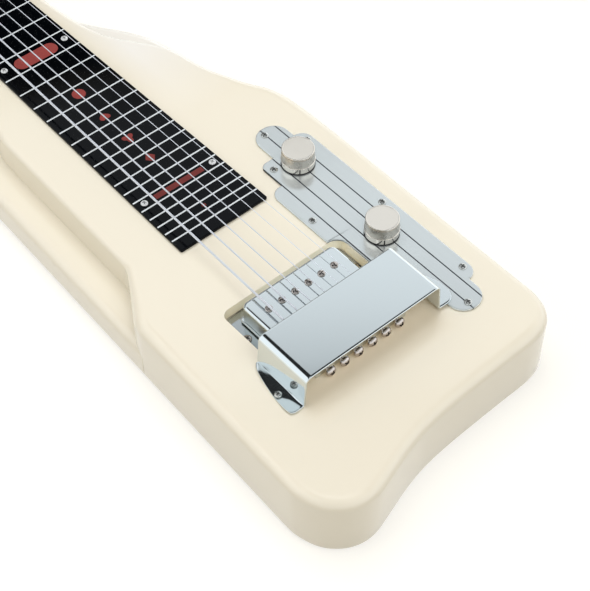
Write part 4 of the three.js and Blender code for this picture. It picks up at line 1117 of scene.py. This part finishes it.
def cover_mesh():
    """A flat bar bent along a path: at each station a rounded rectangle, as wide as the sheet is there.

    The path runs from the bass toe over the top to the treble toe. The feet narrow to the toes' curve.
    """
    half_sheet = COVER_SHEET / 2
    bass_level = BODY_TOP + GAP + half_sheet
    treble_level = CONTROL_TOP + GAP + half_sheet
    top = COVER_TOP - half_sheet
    bends = [
        (COVER_TOES[0], bass_level, 0), (COVER_LEGS[0], bass_level, 0.8), (-COVER_HALF_TOP, top, 3.4),
        (COVER_HALF_TOP, top, 3.4), (COVER_LEGS[1], treble_level, 0.8), (COVER_TOES[1], treble_level, 0),
    ]
    path = rounded_path(bends, closed=False, steps=8, lip=0.6)
    toe = np.linspace(0, 1, 25)[1:-1] ** 2
    bass_toe = np.stack([COVER_TOES[0] + toe * TOE_LENGTH, 0 * toe + bass_level], -1)
    treble_toe = np.stack([COVER_TOES[1] - toe[::-1] * TOE_LENGTH, 0 * toe + treble_level], -1)
    path = np.concatenate([path[:1], bass_toe, path[1:-1], treble_toe, path[-1:]])
    path = with_stations(path, 2.5)
    y = path[:, 0]
    bass_out = np.clip((-y - FOOT_START) / FOOT_REACH[0], 0, 1)
    treble_out = np.clip((y - FOOT_START) / FOOT_REACH[1], 0, 1)
    bass_neck, bass_tail = foot_edges(FOOT_BASS, bass_out)
    treble_neck, treble_tail = foot_edges(FOOT_TREBLE, treble_out)
    length = COVER_TAIL - COVER_NECK
    in_bass = (path[:, 1] < bass_level + 0.3) & (y < 0)
    in_treble = (path[:, 1] < treble_level + 0.3) & (y > 0)
    neck = COVER_NECK + length * np.where(in_bass, bass_neck, np.where(in_treble, treble_neck, 0.0))
    tail = COVER_NECK + length * np.where(in_bass, bass_tail, np.where(in_treble, treble_tail, 1.0))
    half = np.maximum((tail - neck) / 2, 0.02)
    middle = (tail + neck) / 2
    tangent = unit(np.gradient(path, axis=0))
    normal = np.stack([-tangent[:, 1], tangent[:, 0]], -1)
    edge = 0.5
    flat = np.maximum(half - edge, 0)[:, None]
    inset = np.maximum(half - edge - 0.7, 0)[:, None]
    squeeze = np.minimum(1, half / edge)[:, None]
    a = np.linspace(0, math.pi / 2, 5)
    arc_out, arc_up = edge * np.cos(a)[None], edge * np.sin(a)[None]
    share = np.linspace(1, -1, 26)[None]
    level = 0 * middle[:, None]
    tail_up = (flat + arc_out * squeeze, half_sheet - edge + arc_up + level)
    top_run = (inset * share, half_sheet + 0 * share + level)
    neck_up = (-tail_up[0][:, ::-1], tail_up[1][:, ::-1])
    upper = [np.concatenate(parts, 1) for parts in zip(tail_up, top_run, neck_up)]
    across = np.concatenate([upper[0], upper[0][:, ::-1]], 1)
    through = np.concatenate([upper[1], -upper[1][:, ::-1]], 1)
    # The pressed bass foot dips at its neck end, sinks along its middle and lifts towards its tail corner.
    along = (middle[:, None] + across - COVER_NECK) / length
    corner = 0.36 * bass_out[:, None] * eased(along, 0.1, 0.45)
    height = np.interp(along + corner, [0, 0.12, 0.92, 1.3], [-0.2, 0.2, -0.5, 0.35])
    lift = height * (eased(-y, 50.0, 51.5) * in_bass)[:, None]
    out = path[:, :1] + normal[:, :1] * through
    up = path[:, 1:] + normal[:, 1:] * through + lift
    points = np.stack([middle[:, None] + across, out, up], -1)
    ends = points.mean(axis=1, keepdims=True)[[0, -1]] + 0 * points[[0, -1]]
    shell = Shell()
    shell.grid(np.concatenate([ends[:1], points, ends[1:]]), True)
    return shell.mesh("bridge_cover_sheet", BENT_SHARP)


def intonation_mesh(template, y):
    shell = Shell()
    shell.copies(template, [(SCREW_HEAD, y, SCREW_AXIS)], "x", first_turn=0.5 + 0.9 * y)
    shell.thread(1.5, 0.22, 0.7, 6.9, SCREW_HEAD - 6.7, "x", (0, y, SCREW_AXIS))
    return shell.mesh("intonation_screw", TURNED_SHARP)


# Control plate and knobs


def control_plate_mesh():
    """Five strips side by side, each ending in rounded lobes, with a notch round the pickup's rout."""
    right = [(17.6, 85.5, 7.6), (17.6, 77.7, 0), (34.4, 77.7, 10.7), (34.4, 55.8, 10.7), (11.1, 55.8, 0)]
    right += [(11.1, 45.0, 4.6), (-14.0, 45.0, 0), (-14.0, 44.2, 0)]
    notch = [(-55.0, 44.2, 8.6), (-55.0, 35.5, 1.0)]
    left = [(-106.1, 35.5, 7.0), (-106.1, 45.0, 0), (-126.5, 45.0, 4.6), (-126.5, 55.8, 0)]
    left += [(-149.8, 55.8, 10.7), (-149.8, 77.7, 10.7), (-133.0, 77.7, 0), (-133.0, 85.5, 7.6)]
    outline = rounded_path(right + notch + left, True, 12)
    return slab_mesh("control_plate_sheet", outline, BODY_TOP + GAP, CONTROL_TOP, 0.1, 0.35, 4, 0.3)


def knob_mesh(x):
    """Turned knob: plain skirt, fine step, a barrel that leans in to a grooved rim, and a flat bare top."""
    top = KNOB_HEIGHT
    profile = [
        (0, 0.4, 0), (10.3, 0.4, 0.2), (10.5, 4.4, 0.25),
        (10.2, 4.55, 0.05), (10.2, 4.8, 0.05), (10.3, 5.0, 0.1),
        (10.0, top - 1.6, 0.1), (9.6, top - 1.55, 0.05), (9.6, top - 1.0, 0.05), (10.0, top - 0.9, 0.1),
        (9.9, top, 0.3), (9.2, top, 0.1), (9.1, top - 0.06, 0.1), (0, top - 0.06, 0),
    ]
    outline = rounded_path(profile, closed=False, steps=5, lip=0.02)
    shell = Shell()
    shell.turned(outline, "z", (x, KNOB_LINE, KNOB_BOTTOM), 96)
    return shell.mesh("knob", TURNED_SHARP)


def knob_shade_ring_mesh(x):
    """A dark ring between a knob and the plate, standing as painted shade in the gap under the knob."""
    shell = Shell()
    profile = [(3.6, 45.62, 0), (10.5, 45.62, 0.2), (10.5, 46.5, 0.2), (3.6, 46.5, 0), (3.6, 45.62, 0)]
    shell.turned(rounded_path(profile, closed=False, steps=3, lip=0.02), "z", (x, KNOB_LINE, 0), 64)
    return shell.mesh("knob_shade_ring", TURNED_SHARP)


def knob_mark_mesh(x):
    """A thin pointer line let into the skirt, turned towards the tail and the player."""
    outward = np.array([0.82, -0.572])
    along = np.array([0.572, 0.82])
    corners = [(9.8, -0.35), (10.62, -0.35), (10.62, 0.35), (9.8, 0.35)]
    outline = [np.array([x, KNOB_LINE]) + outward * out + along * side for out, side in corners]
    return slab_mesh("knob_mark", outline, 46.5, 50.3, 0, 0.05, 2, 0)


# Strings


def string_path(place):
    """The string from its ball end, up behind the saddle, over the nut and round its post."""
    post_x, post_y, radius, offset = place
    side = math.copysign(1, offset)
    at_saddle, at_nut = offset * SADDLE_PITCH, offset * NUT_PITCH
    a = np.linspace(0, math.pi / 2, 9)
    out = STRING_DROP - SADDLE_BEND + SADDLE_BEND * np.cos(a)
    up = STRING_LEVEL - SADDLE_BEND + SADDLE_BEND * np.sin(a)
    bend = np.stack([out, at_saddle + 0 * a, up], -1)
    start = np.array([(STRING_DROP, at_saddle, BALL_LEVEL), (STRING_DROP, at_saddle, 40.0)])
    nut = np.array([(NUT_FACE, at_nut, STRING_LEVEL), (NUT_BACK - GAP, at_nut, STRING_LEVEL)])
    reach = POST_RADIUS + GAP + radius
    turn = np.linspace(0, TURNS_ON_POST * 2 * math.pi, TURNS_ON_POST * 36 + 1)
    pitch = 2 * radius + 0.6
    level = POST_TOP - 3 - pitch * turn / (2 * math.pi)
    coil = np.stack([post_x - reach * np.sin(turn), post_y - side * reach * np.cos(turn), level], -1)
    a = np.linspace(0, math.pi / 2, 7)[1:]
    hook = coil[-1] + np.stack([-2 * np.sin(a), 0 * a, -2 * (1 - np.cos(a))], -1)
    foot = hook[-1:] * (1, 1, 0) + (0, 0, COLLAR_TOP + GAP)
    return np.concatenate([start, bend, nut, coil, hook, foot])


def string_mesh(place):
    shell = Shell()
    shell.tube(string_path(place), place[2], 14)
    rim = [(0, -2, 0), (2, -2, 0.3), (2, 2, 0.3), (0, 2, 0)]
    profile = rounded_path(rim, closed=False, steps=3)
    shell.turned(profile, "z", (STRING_DROP, place[3] * SADDLE_PITCH, BALL_LEVEL), 24)
    return shell.mesh("string", BENT_SHARP)


# Tuners


def post_mesh(x, y):
    """Capstan post with a domed top and a waisted winding part, its collar, and the wheel below."""
    profile = [
        (0, 6.8, 0), (2.4, 6.8, 0.3), (2.4, 10.2, 0), (POST_RADIUS, 10.2, 0),
        (POST_RADIUS, 31.3, 0), (5.4, 31.3, 0.2), (5.4, 34.4, 0.6),
        (4.0, COLLAR_TOP, 0.4), (POST_RADIUS, COLLAR_TOP, 0.2), (2.85, 42, 4),
        (POST_RADIUS, 46.2, 0.2), (POST_RADIUS, POST_TOP, 0.5), (0, POST_TOP, 0),
    ]
    shell = Shell()
    shell.turned(rounded_path(profile, closed=False, steps=4), "z", (x, y, 0), 36)
    turn = full_turn(GEAR_TEETH * 10)
    radius = 5.45 + 0.55 * np.tanh(2.2 * np.cos(GEAR_TEETH * turn)) / math.tanh(2.2)
    wheel = np.stack([x + radius * np.cos(turn), y + radius * np.sin(turn)], -1)
    shell.slab(wheel, GEAR_TOP - 4, GEAR_TOP, 0.2, 0.2, 2, 0)
    return shell.mesh("tuner_post", TURNED_SHARP)


def button_mesh(x, y, side):
    """The oval button on its shaft, with the worm that drives the wheel."""
    axis = "y" if side > 0 else "-y"
    place = (x, y, WORM_LEVEL)
    turn = full_turn(48)
    waist = 1 + 0.06 * np.cos(2 * turn)
    # Facing turns the outline's first axis upwards and its second along X.
    oval = np.stack([5.0 * waist * np.cos(turn), 7.1 * waist * np.sin(turn)], -1)
    shell = Shell()
    shell.slab(oval, 27.5, 37.5, 1.6, 2.2, 6, 0.3, axis, place)
    collar = rounded_path([(0, 23.5, 0), (2.4, 23.5, 0.4), (2.4, 27.6, 0.2), (0, 27.6, 0)], False, 3)
    shell.turned(collar, axis, place, 24, 1)
    shell.turned([(0, -6.2), (1.4, -6.2), (1.4, 28), (0, 28)], axis, place, 20, 1)
    shell.thread(2.2, 0.5, 1.3, -3.2, 6.4, axis, place, 24, 1)
    return shell.mesh("tuner_button", TURNED_SHARP)


def tuner_plate_mesh(side):
    """The strip under the head with two bent ears for each worm."""
    posts = [x for x, y, _, _ in post_places().values() if y * side > 0]
    shell = Shell()
    centre = side * POST_LINE
    outline = rectangle(min(posts) - 12, max(posts) + 14.2, centre - 11.6, centre + 11.6, 3, 6)
    shell.slab(outline, TUNER_PLATE_TOP - 1.2, TUNER_PLATE_TOP, 0.3, 0.1, 3, 0.3)
    for x in posts:
        for y in (centre - 3.5 - 1.5, centre + 3.5):
            low, high = x + WORM_OFFSET - 3, x + WORM_OFFSET + 3
            ear = rounded_path([(low, 13, 0), (low, 7.2, 2.4), (high, 7.2, 2.4), (high, 13, 0)], True, 5)
            shell.slab(ear[:, ::-1], y, y + 1.5, 0.2, 0.2, 2, 0, "y")
    return shell.mesh("tuner_plate", TURNED_SHARP)


def jack_plate_mesh():
    outline = rectangle(JACK_LEVEL - 13, JACK_LEVEL + 13, JACK_X - 20, JACK_X + 20, 3.5, 7)
    return slab_mesh("jack_plate_sheet", outline, 102.3, JACK_PLATE_FACE, 0.1, 0.4, 4, 0.3, "y")


def jack_mesh():
    """The socket: a threaded bushing with a hole, a hexagon nut, a washer and the frame inside the body."""
    shell = Shell()
    place = (JACK_X, 0, JACK_LEVEL)
    bore = [(0, 84), (3.2, 84), (3.2, 107.4), (3.5, 107.8), (4.4, 107.8), (4.7, 107.5), (4.7, 102), (8, 102)]
    bore += [(8, 82), (0, 82)]
    shell.turned(bore, "y", place, 36)
    shell.thread(4.85, 0.18, 0.75, 105.0, 2.3, "y", place, 36)
    washer = [(4.8, 103.82), (7.6, 103.82), (7.6, 104.2), (7.4, 104.3), (4.8, 104.3), (4.8, 103.82)]
    shell.turned(washer, "y", place, 36)
    corners = [(6.6 * math.cos(a), 6.6 * math.sin(a), 0.8) for a in full_turn(6)]
    shell.slab(rounded_path(corners, True, 3), 104.3, 106.2, 0.1, 0.35, 3, 0.2, "y", place)
    return shell.mesh("output_jack_body", TURNED_SHARP)


# Settings


def number_setting(name, description, default, **limits):
    return bpy.props.FloatProperty(name=name, description=description, default=default, **limits)


def color_setting(name, description, default):
    return bpy.props.FloatVectorProperty(
        name=name, description=description, subtype="COLOR", default=default, min=0, max=1
    )


class GuitarSizes(bpy.types.PropertyGroup):
    """Sizes that a user may want to change."""

    rim_rounding: number_setting(
        "Rim rounding", "Radius of the rounded rim round the top of the body", 0.0068,
        min=0.002, max=0.0068, unit="LENGTH",
    )
    fret_line_width: number_setting(
        "Fret line width", "Width of the lines on the board", 0.0011, min=0.0003, max=0.003, unit="LENGTH"
    )
    groove_width: number_setting(
        "Groove width", "Width of the dark grooves along the control plate", 0.0008,
        min=0.0002, max=0.002, unit="LENGTH",
    )


class GuitarColors(bpy.types.PropertyGroup):
    """Colours of the main finishes."""

    lacquer: color_setting("Lacquer", "Body lacquer", (0.885, 0.818, 0.672))
    board: color_setting("Board", "Black panel under the strings", (0.001, 0.0015, 0.0025))
    fret_lines: color_setting("Fret lines", "Pale lines across the board", linear(226, 232, 236))
    figures: color_setting("Figures", "Red position figures", linear(150, 60, 55))
    chrome: color_setting("Chrome", "Plates and covers", (0.66, 0.70, 0.70))
    knobs: color_setting("Knobs", "Warm nickel of the knobs", (0.78, 0.72, 0.64))
    screws: color_setting("Screws", "Nickel of the small screws", (0.57, 0.51, 0.47))


class StudioSettings(bpy.types.PropertyGroup):
    """Where the camera stands and how bright the lamps are."""

    azimuth: number_setting(
        "Azimuth", "Turn of the camera round the guitar", math.radians(49.061), subtype="ANGLE"
    )
    elevation: number_setting(
        "Elevation", "Height of the camera above the horizon", math.radians(50.66), subtype="ANGLE"
    )
    distance: number_setting("Distance", "From the camera to the body top", 0.90218, unit="LENGTH")
    lens: number_setting("Focal length", "Lens of the camera", 98.24, unit="CAMERA")
    sky: number_setting("Room light", "Strength of the even light from all round", 0.54, min=0)
    softbox: number_setting("Softbox power", "Power of the lamp overhead", 7.4, min=0, unit="POWER")


def sizes():
    return bpy.context.scene.guitar_sizes


# Operators


class GUITAR_OT_studio(bpy.types.Operator):
    """Makes the floor, the lights and the camera"""

    bl_idname = "guitar.studio"
    bl_label = "Studio"

    def execute(self, context):
        settings = context.scene.guitar_studio
        target = Vector((-0.03829, -0.00356, 0.044))
        a, e = settings.azimuth, settings.elevation
        back = Vector((math.sin(a) * math.cos(e), -math.cos(a) * math.cos(e), math.sin(e)))
        lens = bpy.data.cameras.new("camera")
        lens.lens = settings.lens
        lens.clip_start, lens.clip_end = 0.01, 50
        camera = bpy.data.objects.new("camera", lens)
        camera.location = target + back * settings.distance
        camera.rotation_mode = "QUATERNION"
        camera.rotation_quaternion = (-back).to_track_quat("-Z", "Y")
        context.scene.collection.objects.link(camera)
        context.scene.camera = camera
        self.light(context, settings)
        self.floor(context)
        context.scene.view_settings.view_transform = "Standard"
        return {"FINISHED"}

    def light(self, context, settings):
        world = bpy.data.worlds.new("room")
        world.use_nodes = True
        context.scene.world = world
        room = Shading(world.node_tree)
        rays = room.node("ShaderNodeLightPath").socket.node
        seen = Amount(room, rays.outputs["Is Camera Ray"])
        mirrored = Amount(room, rays.outputs["Is Glossy Ray"])
        sky = tuple(settings.sky * share for share in (1.04, 1.0, 0.92))
        shown = room.mixed(mirrored, sky, self.mirrored_room(room))
        background = world.node_tree.nodes["Background"]
        room.feed(background.inputs["Color"], room.mixed(seen, shown, (1.0, 1.0, 1.0)))
        for name, place, size, power, in_mirrors in (
            ("softbox", (-0.4, 0.05, 1.4), 0.9, settings.softbox, False),
            ("left_lamp", (-0.6, -1.3, 0.9), 0.8, settings.softbox * 0.37, False),
            ("right_lamp", (0.85, 0.05, 1.35), 0.8, settings.softbox * 0.63, False),
            ("sparkle", (0.25, -0.75, 1.3), 0.05, settings.softbox * 0.02, True),
        ):
            lamp = bpy.data.lights.new(name, "AREA")
            lamp.shape = "SQUARE"
            lamp.size = size
            lamp.energy = power
            lamp.color = (0.97, 1.0, 1.05)
            piece = bpy.data.objects.new(name, lamp)
            piece.visible_glossy = in_mirrors
            piece.location = place
            aim = Vector((-0.1, 0, 0.04)) - piece.location
            piece.rotation_mode = "QUATERNION"
            piece.rotation_quaternion = aim.to_track_quat("-Z", "Y")
            context.scene.collection.objects.link(piece)

    def mirrored_room(self, room):
        """What polished pieces see: a bright room with a dark band under a pale skylight, a grey wall beyond
        the head, a dim camera side and a dark strip on the far side."""
        x, y, z = room.axes(room.node("ShaderNodeTexCoord"))
        stops = [(0.0, 1.5), (0.48, 1.5), (0.58, 0.97), (0.72, 0.98)]
        stops += [(0.78, 1.03), (0.8, 0.94), (0.812, 0.82)]
        stops += [(0.826, 0.73), (0.834, 0.025), (0.935, 0.03), (0.965, 0.75)]
        lit = room.node("ShaderNodeValToRGB", {"stops": stops}, {0: z + 0.053 * y})
        near_side = room.step(y, -0.25, -0.45)
        lit = room.mixed(near_side * (z < 0.79), lit, (1.25, 1.25, 1.25))
        lit = room.mixed(room.step(x, -0.7, -0.75), lit, (0.35, 0.35, 0.35))
        camera_side = room.step(x, 0.1, 0.3) * room.step(y, -0.1, -0.25) * room.step(z, 0.3, 0.5)
        lit = room.mixed(camera_side, lit, (0.64, 0.64, 0.64))
        far_strip = room.step(y, -0.04, 0.1) * room.step(z, 0.57, 0.6) * room.step(x, -0.5, -0.56)
        lit = room.mixed(far_strip * room.step(z, 0.69, 0.68), lit, (0.5, 0.42, 0.3))
        lit = room.mixed(far_strip * room.step(z, 0.68, 0.672), lit, (0.01, 0.01, 0.01))
        tinted = {"data_type": "RGBA", "blend_type": "MULTIPLY"}
        return room.node("ShaderNodeMix", tinted, {0: 1.0, 6: lit, 7: (1.0, 1.06, 1.11)}, 2)

    def floor(self, context):
        """A pale floor that keeps the shadow near the guitar and fades to white far from it."""
        finish = Finish("floor_white", (0.5, 0.48, 0.42), 0.9, specular_ior_level=0.0)
        rays = finish.node("ShaderNodeLightPath").socket.node
        seen = Amount(finish, rays.outputs["Is Camera Ray"])
        mirrored = Amount(finish, rays.outputs["Is Glossy Ray"])
        x, y, _ = finish.axes(finish.place())
        far = finish.step(finish.math("SQRT", x * x + y * y), 0.5, 1.5)
        glow = finish.node("ShaderNodeEmission", inputs={"Strength": (seen + mirrored) * (0.6 + 0.6 * far)})
        surface = Amount(finish, finish.shader.outputs[0])
        both = finish.node("ShaderNodeAddShader", inputs={0: surface, 1: glow})
        finish.feed(finish.tree.nodes["Material Output"].inputs["Surface"], both)
        mesh = bpy.data.meshes.new("floor")
        corners = [(x, y, FLOOR_LEVEL) for x, y in ((-6, -6), (6, -6), (6, 6), (-6, 6))]
        mesh.from_pydata(corners, [], [(0, 1, 2, 3)])
        mesh.materials.append(finish.material)
        floor = bpy.data.objects.new("floor", mesh)
        context.scene.collection.objects.link(floor)


class GUITAR_OT_finishes(bpy.types.Operator):
    """Makes the materials and puts them on the CAD pieces that are shown as they are"""

    bl_idname = "guitar.finishes"
    bl_label = "Finishes"

    def execute(self, context):
        make_finishes(context.scene.guitar_colors)
        kept = {
            "nut": "nut", "bridge_base": "chrome", "capacitor": "capacitor",
            "pickup_coil": "coil", "pickup_magnet": "magnet",
        }
        kept.update({"saddle_%d" % n: "saddle" for n in range(1, 7)})
        for use in KNOB_PLACES:
            kept.update({use + "_pot": "pot", use + "_pot_nut": "screw", use + "_shaft": "brass"})
        for node, finish in kept.items():
            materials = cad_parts[node].data.materials
            materials.clear()
            materials.append(finishes[finish])
        return {"FINISHED"}


class GUITAR_OT_body(bpy.types.Operator):
    """Makes the solid body with its wings, head, rout and bores"""

    bl_idname = "guitar.body"
    bl_label = "Body"

    def execute(self, context):
        show("body_shell", body_mesh(sizes().rim_rounding / METRES), ["lacquer"], ["body"])
        return {"FINISHED"}


class GUITAR_OT_board(bpy.types.Operator):
    """Makes the black board with its fret lines, figures and screws"""

    bl_idname = "guitar.board"
    bl_label = "Board"

    def execute(self, context):
        lines = fret_line_mesh(sizes().fret_line_width / METRES)
        show("board_panel", board_panel_mesh(), ["board"], ["fretboard"])
        show("fret_lines", lines, ["line"])
        show("position_figures", figure_mesh(), ["figure"])
        head = screw_mesh("board_screw", 2.25, 1.1, "cross", 0.8)
        show_screws("board_screws", head, board_screw_places(), "bright_screw")
        return {"FINISHED"}


class GUITAR_OT_pickup(bpy.types.Operator):
    """Makes the pickup's cover, base, mounting plate and screws"""

    bl_idname = "guitar.pickup"
    bl_label = "Pickup"

    def execute(self, context):
        show("pickup_cover_shell", pickup_cover_mesh(), ["pickup"], ["pickup_cover"])
        show("pickup_base", pickup_base_mesh(), ["chrome"], ["pickup_base_plate"])
        show("mounting_plate", mounting_plate_mesh(), ["dull"], ["pickup_mounting_plate"])
        poles = [(POLE_X, (row - MIDDLE_ROW) * POLE_PITCH, PICKUP_TOP) for row in range(6)]
        nodes = ["pole_screw_%d" % n for n in range(1, 7)]
        show_screws("pole_screws", screw_mesh("pole_head", 2.3, 1.1, "slot", 0.5), poles, "screw", nodes)
        corners = [(POLE_X, y, PLATE_LEVEL) for y in (-40, 40)]
        show_screws("mounting_screws", screw_mesh("mounting_head", 2.6, 1.6, "cross", 0.6), corners, "screw")
        return {"FINISHED"}


class GUITAR_OT_bridge(bpy.types.Operator):
    """Makes the arched bridge cover and the intonation screws"""

    bl_idname = "guitar.bridge"
    bl_label = "Bridge"

    def execute(self, context):
        show("bridge_cover_sheet", cover_mesh(), ["chrome"], ["bridge_cover"])
        head = screw_mesh("intonation_head", 3.25, 2.7, "cross", 0.75, 0.4)
        for row in range(6):
            mesh = intonation_mesh(head, (row - MIDDLE_ROW) * SADDLE_PITCH)
            name = "intonation_screw_%d" % (6 - row)
            show(name + "_turned", mesh, ["screw"], [name], "intonation_%d" % (6 - row))
        foot = [(8.2, -55.8, BODY_TOP + GAP + COVER_SHEET)]
        show_screws("cover_foot_screw", screw_mesh("foot_head", 2.1, 1.3, "cross", 0.7), foot, "plated")
        return {"FINISHED"}


class GUITAR_OT_controls(bpy.types.Operator):
    """Makes the control plate, its screws and the two knobs"""

    bl_idname = "guitar.controls"
    bl_label = "Controls"

    def execute(self, context):
        show("control_plate_sheet", control_plate_mesh(), ["engraved"], ["control_plate"])
        places = [(x, y, CONTROL_TOP) for x, y in CONTROL_SCREWS]
        show_screws("plate_screws", screw_mesh("plate_head", 2.4, 1.2, "cross", 0.8), places, "plated")
        for use, x in KNOB_PLACES.items():
            body = use + "_control"
            show(use + "_knob_turned", knob_mesh(x), ["knob"], [use + "_knob"], body)
            show(use + "_knob_mark", knob_mark_mesh(x), ["recess"], body=body)
            # The dark ring under each knob is painted shade.
            show(use + "_knob_felt", knob_shade_ring_mesh(x), ["recess"], body=body)
        return {"FINISHED"}


class GUITAR_OT_strings(bpy.types.Operator):
    """Makes the six strings, with their ball ends and the turns on their posts"""

    bl_idname = "guitar.strings"
    bl_label = "Strings"

    def execute(self, context):
        for number, place in post_places().items():
            finish, slot = ("wound", "string_wound") if number > 2 else ("wire", "string_steel")
            name = "string_%d" % number
            show(name + "_wire", string_mesh(place), [finish], [name])
        return {"FINISHED"}


class GUITAR_OT_tuners(bpy.types.Operator):
    """Makes the posts with their wheels, the buttons with their worms and the two plates"""

    bl_idname = "guitar.tuners"
    bl_label = "Tuners"

    def execute(self, context):
        for number, (x, y, _, offset) in post_places().items():
            node = "tuner_post_%d" % number
            body = "tuner_gear_%d" % number
            show(node + "_turned", post_mesh(x, y), ["plated"], [node], body)
            node = "tuner_button_%d" % number
            mesh = button_mesh(x + WORM_OFFSET, y, offset)
            body = "tuner_key_%d" % number
            show(node + "_turned", mesh, ["button", "plated"], [node], body)
        for side, name in ((-1, "tuner_plate_bass"), (1, "tuner_plate_treble")):
            show(name + "_strip", tuner_plate_mesh(side), ["plated"], [name])
        return {"FINISHED"}


class GUITAR_OT_jack(bpy.types.Operator):
    """Makes the jack, its plate and the plate's screws"""

    bl_idname = "guitar.jack"
    bl_label = "Jack"

    def execute(self, context):
        show("jack_plate_sheet", jack_plate_mesh(), ["chrome"], ["jack_plate"])
        show("output_jack_body", jack_mesh(), ["plated"], ["output_jack"])
        corners = [(JACK_X + x, JACK_PLATE_FACE, JACK_LEVEL + z) for x in (-16, 16) for z in (-9, 9)]
        head = screw_mesh("jack_head", 2.0, 1.0, "cross", 0.8)
        show_screws("jack_screws", head, corners, "plated", axis="y")
        return {"FINISHED"}


PIECES = ["finishes", "body", "board", "pickup", "bridge", "controls", "strings", "tuners", "jack"]


class GUITAR_PT_panel(bpy.types.Panel):
    """Lists the pieces and settings of the guitar"""

    bl_idname = "GUITAR_PT_panel"
    bl_label = "Lap steel guitar"
    bl_space_type = "VIEW_3D"
    bl_region_type = "UI"
    bl_category = "Lap steel"

    def draw(self, context):
        layout = self.layout
        layout.operator("guitar.studio")
        for piece in PIECES:
            layout.operator("guitar." + piece)
        for group in (context.scene.guitar_studio, context.scene.guitar_sizes, context.scene.guitar_colors):
            box = layout.box()
            for name in group.__annotations__:
                box.prop(group, name)


CLASSES = [
    GuitarSizes,
    GuitarColors,
    StudioSettings,
    GUITAR_OT_studio,
    GUITAR_OT_finishes,
    GUITAR_OT_body,
    GUITAR_OT_board,
    GUITAR_OT_pickup,
    GUITAR_OT_bridge,
    GUITAR_OT_controls,
    GUITAR_OT_strings,
    GUITAR_OT_tuners,
    GUITAR_OT_jack,
    GUITAR_PT_panel,
]


def register():
    for item in CLASSES:
        bpy.utils.register_class(item)
    bpy.types.Scene.guitar_sizes = bpy.props.PointerProperty(type=GuitarSizes)
    bpy.types.Scene.guitar_colors = bpy.props.PointerProperty(type=GuitarColors)
    bpy.types.Scene.guitar_studio = bpy.props.PointerProperty(type=StudioSettings)


def unregister():
    del bpy.types.Scene.guitar_studio
    del bpy.types.Scene.guitar_colors
    del bpy.types.Scene.guitar_sizes
    for item in reversed(CLASSES):
        bpy.utils.unregister_class(item)


def main():
    register()
    bpy.ops.guitar.studio()
    for piece in PIECES:
        getattr(bpy.ops.guitar, piece)()


if __name__ == "__main__":
    main()
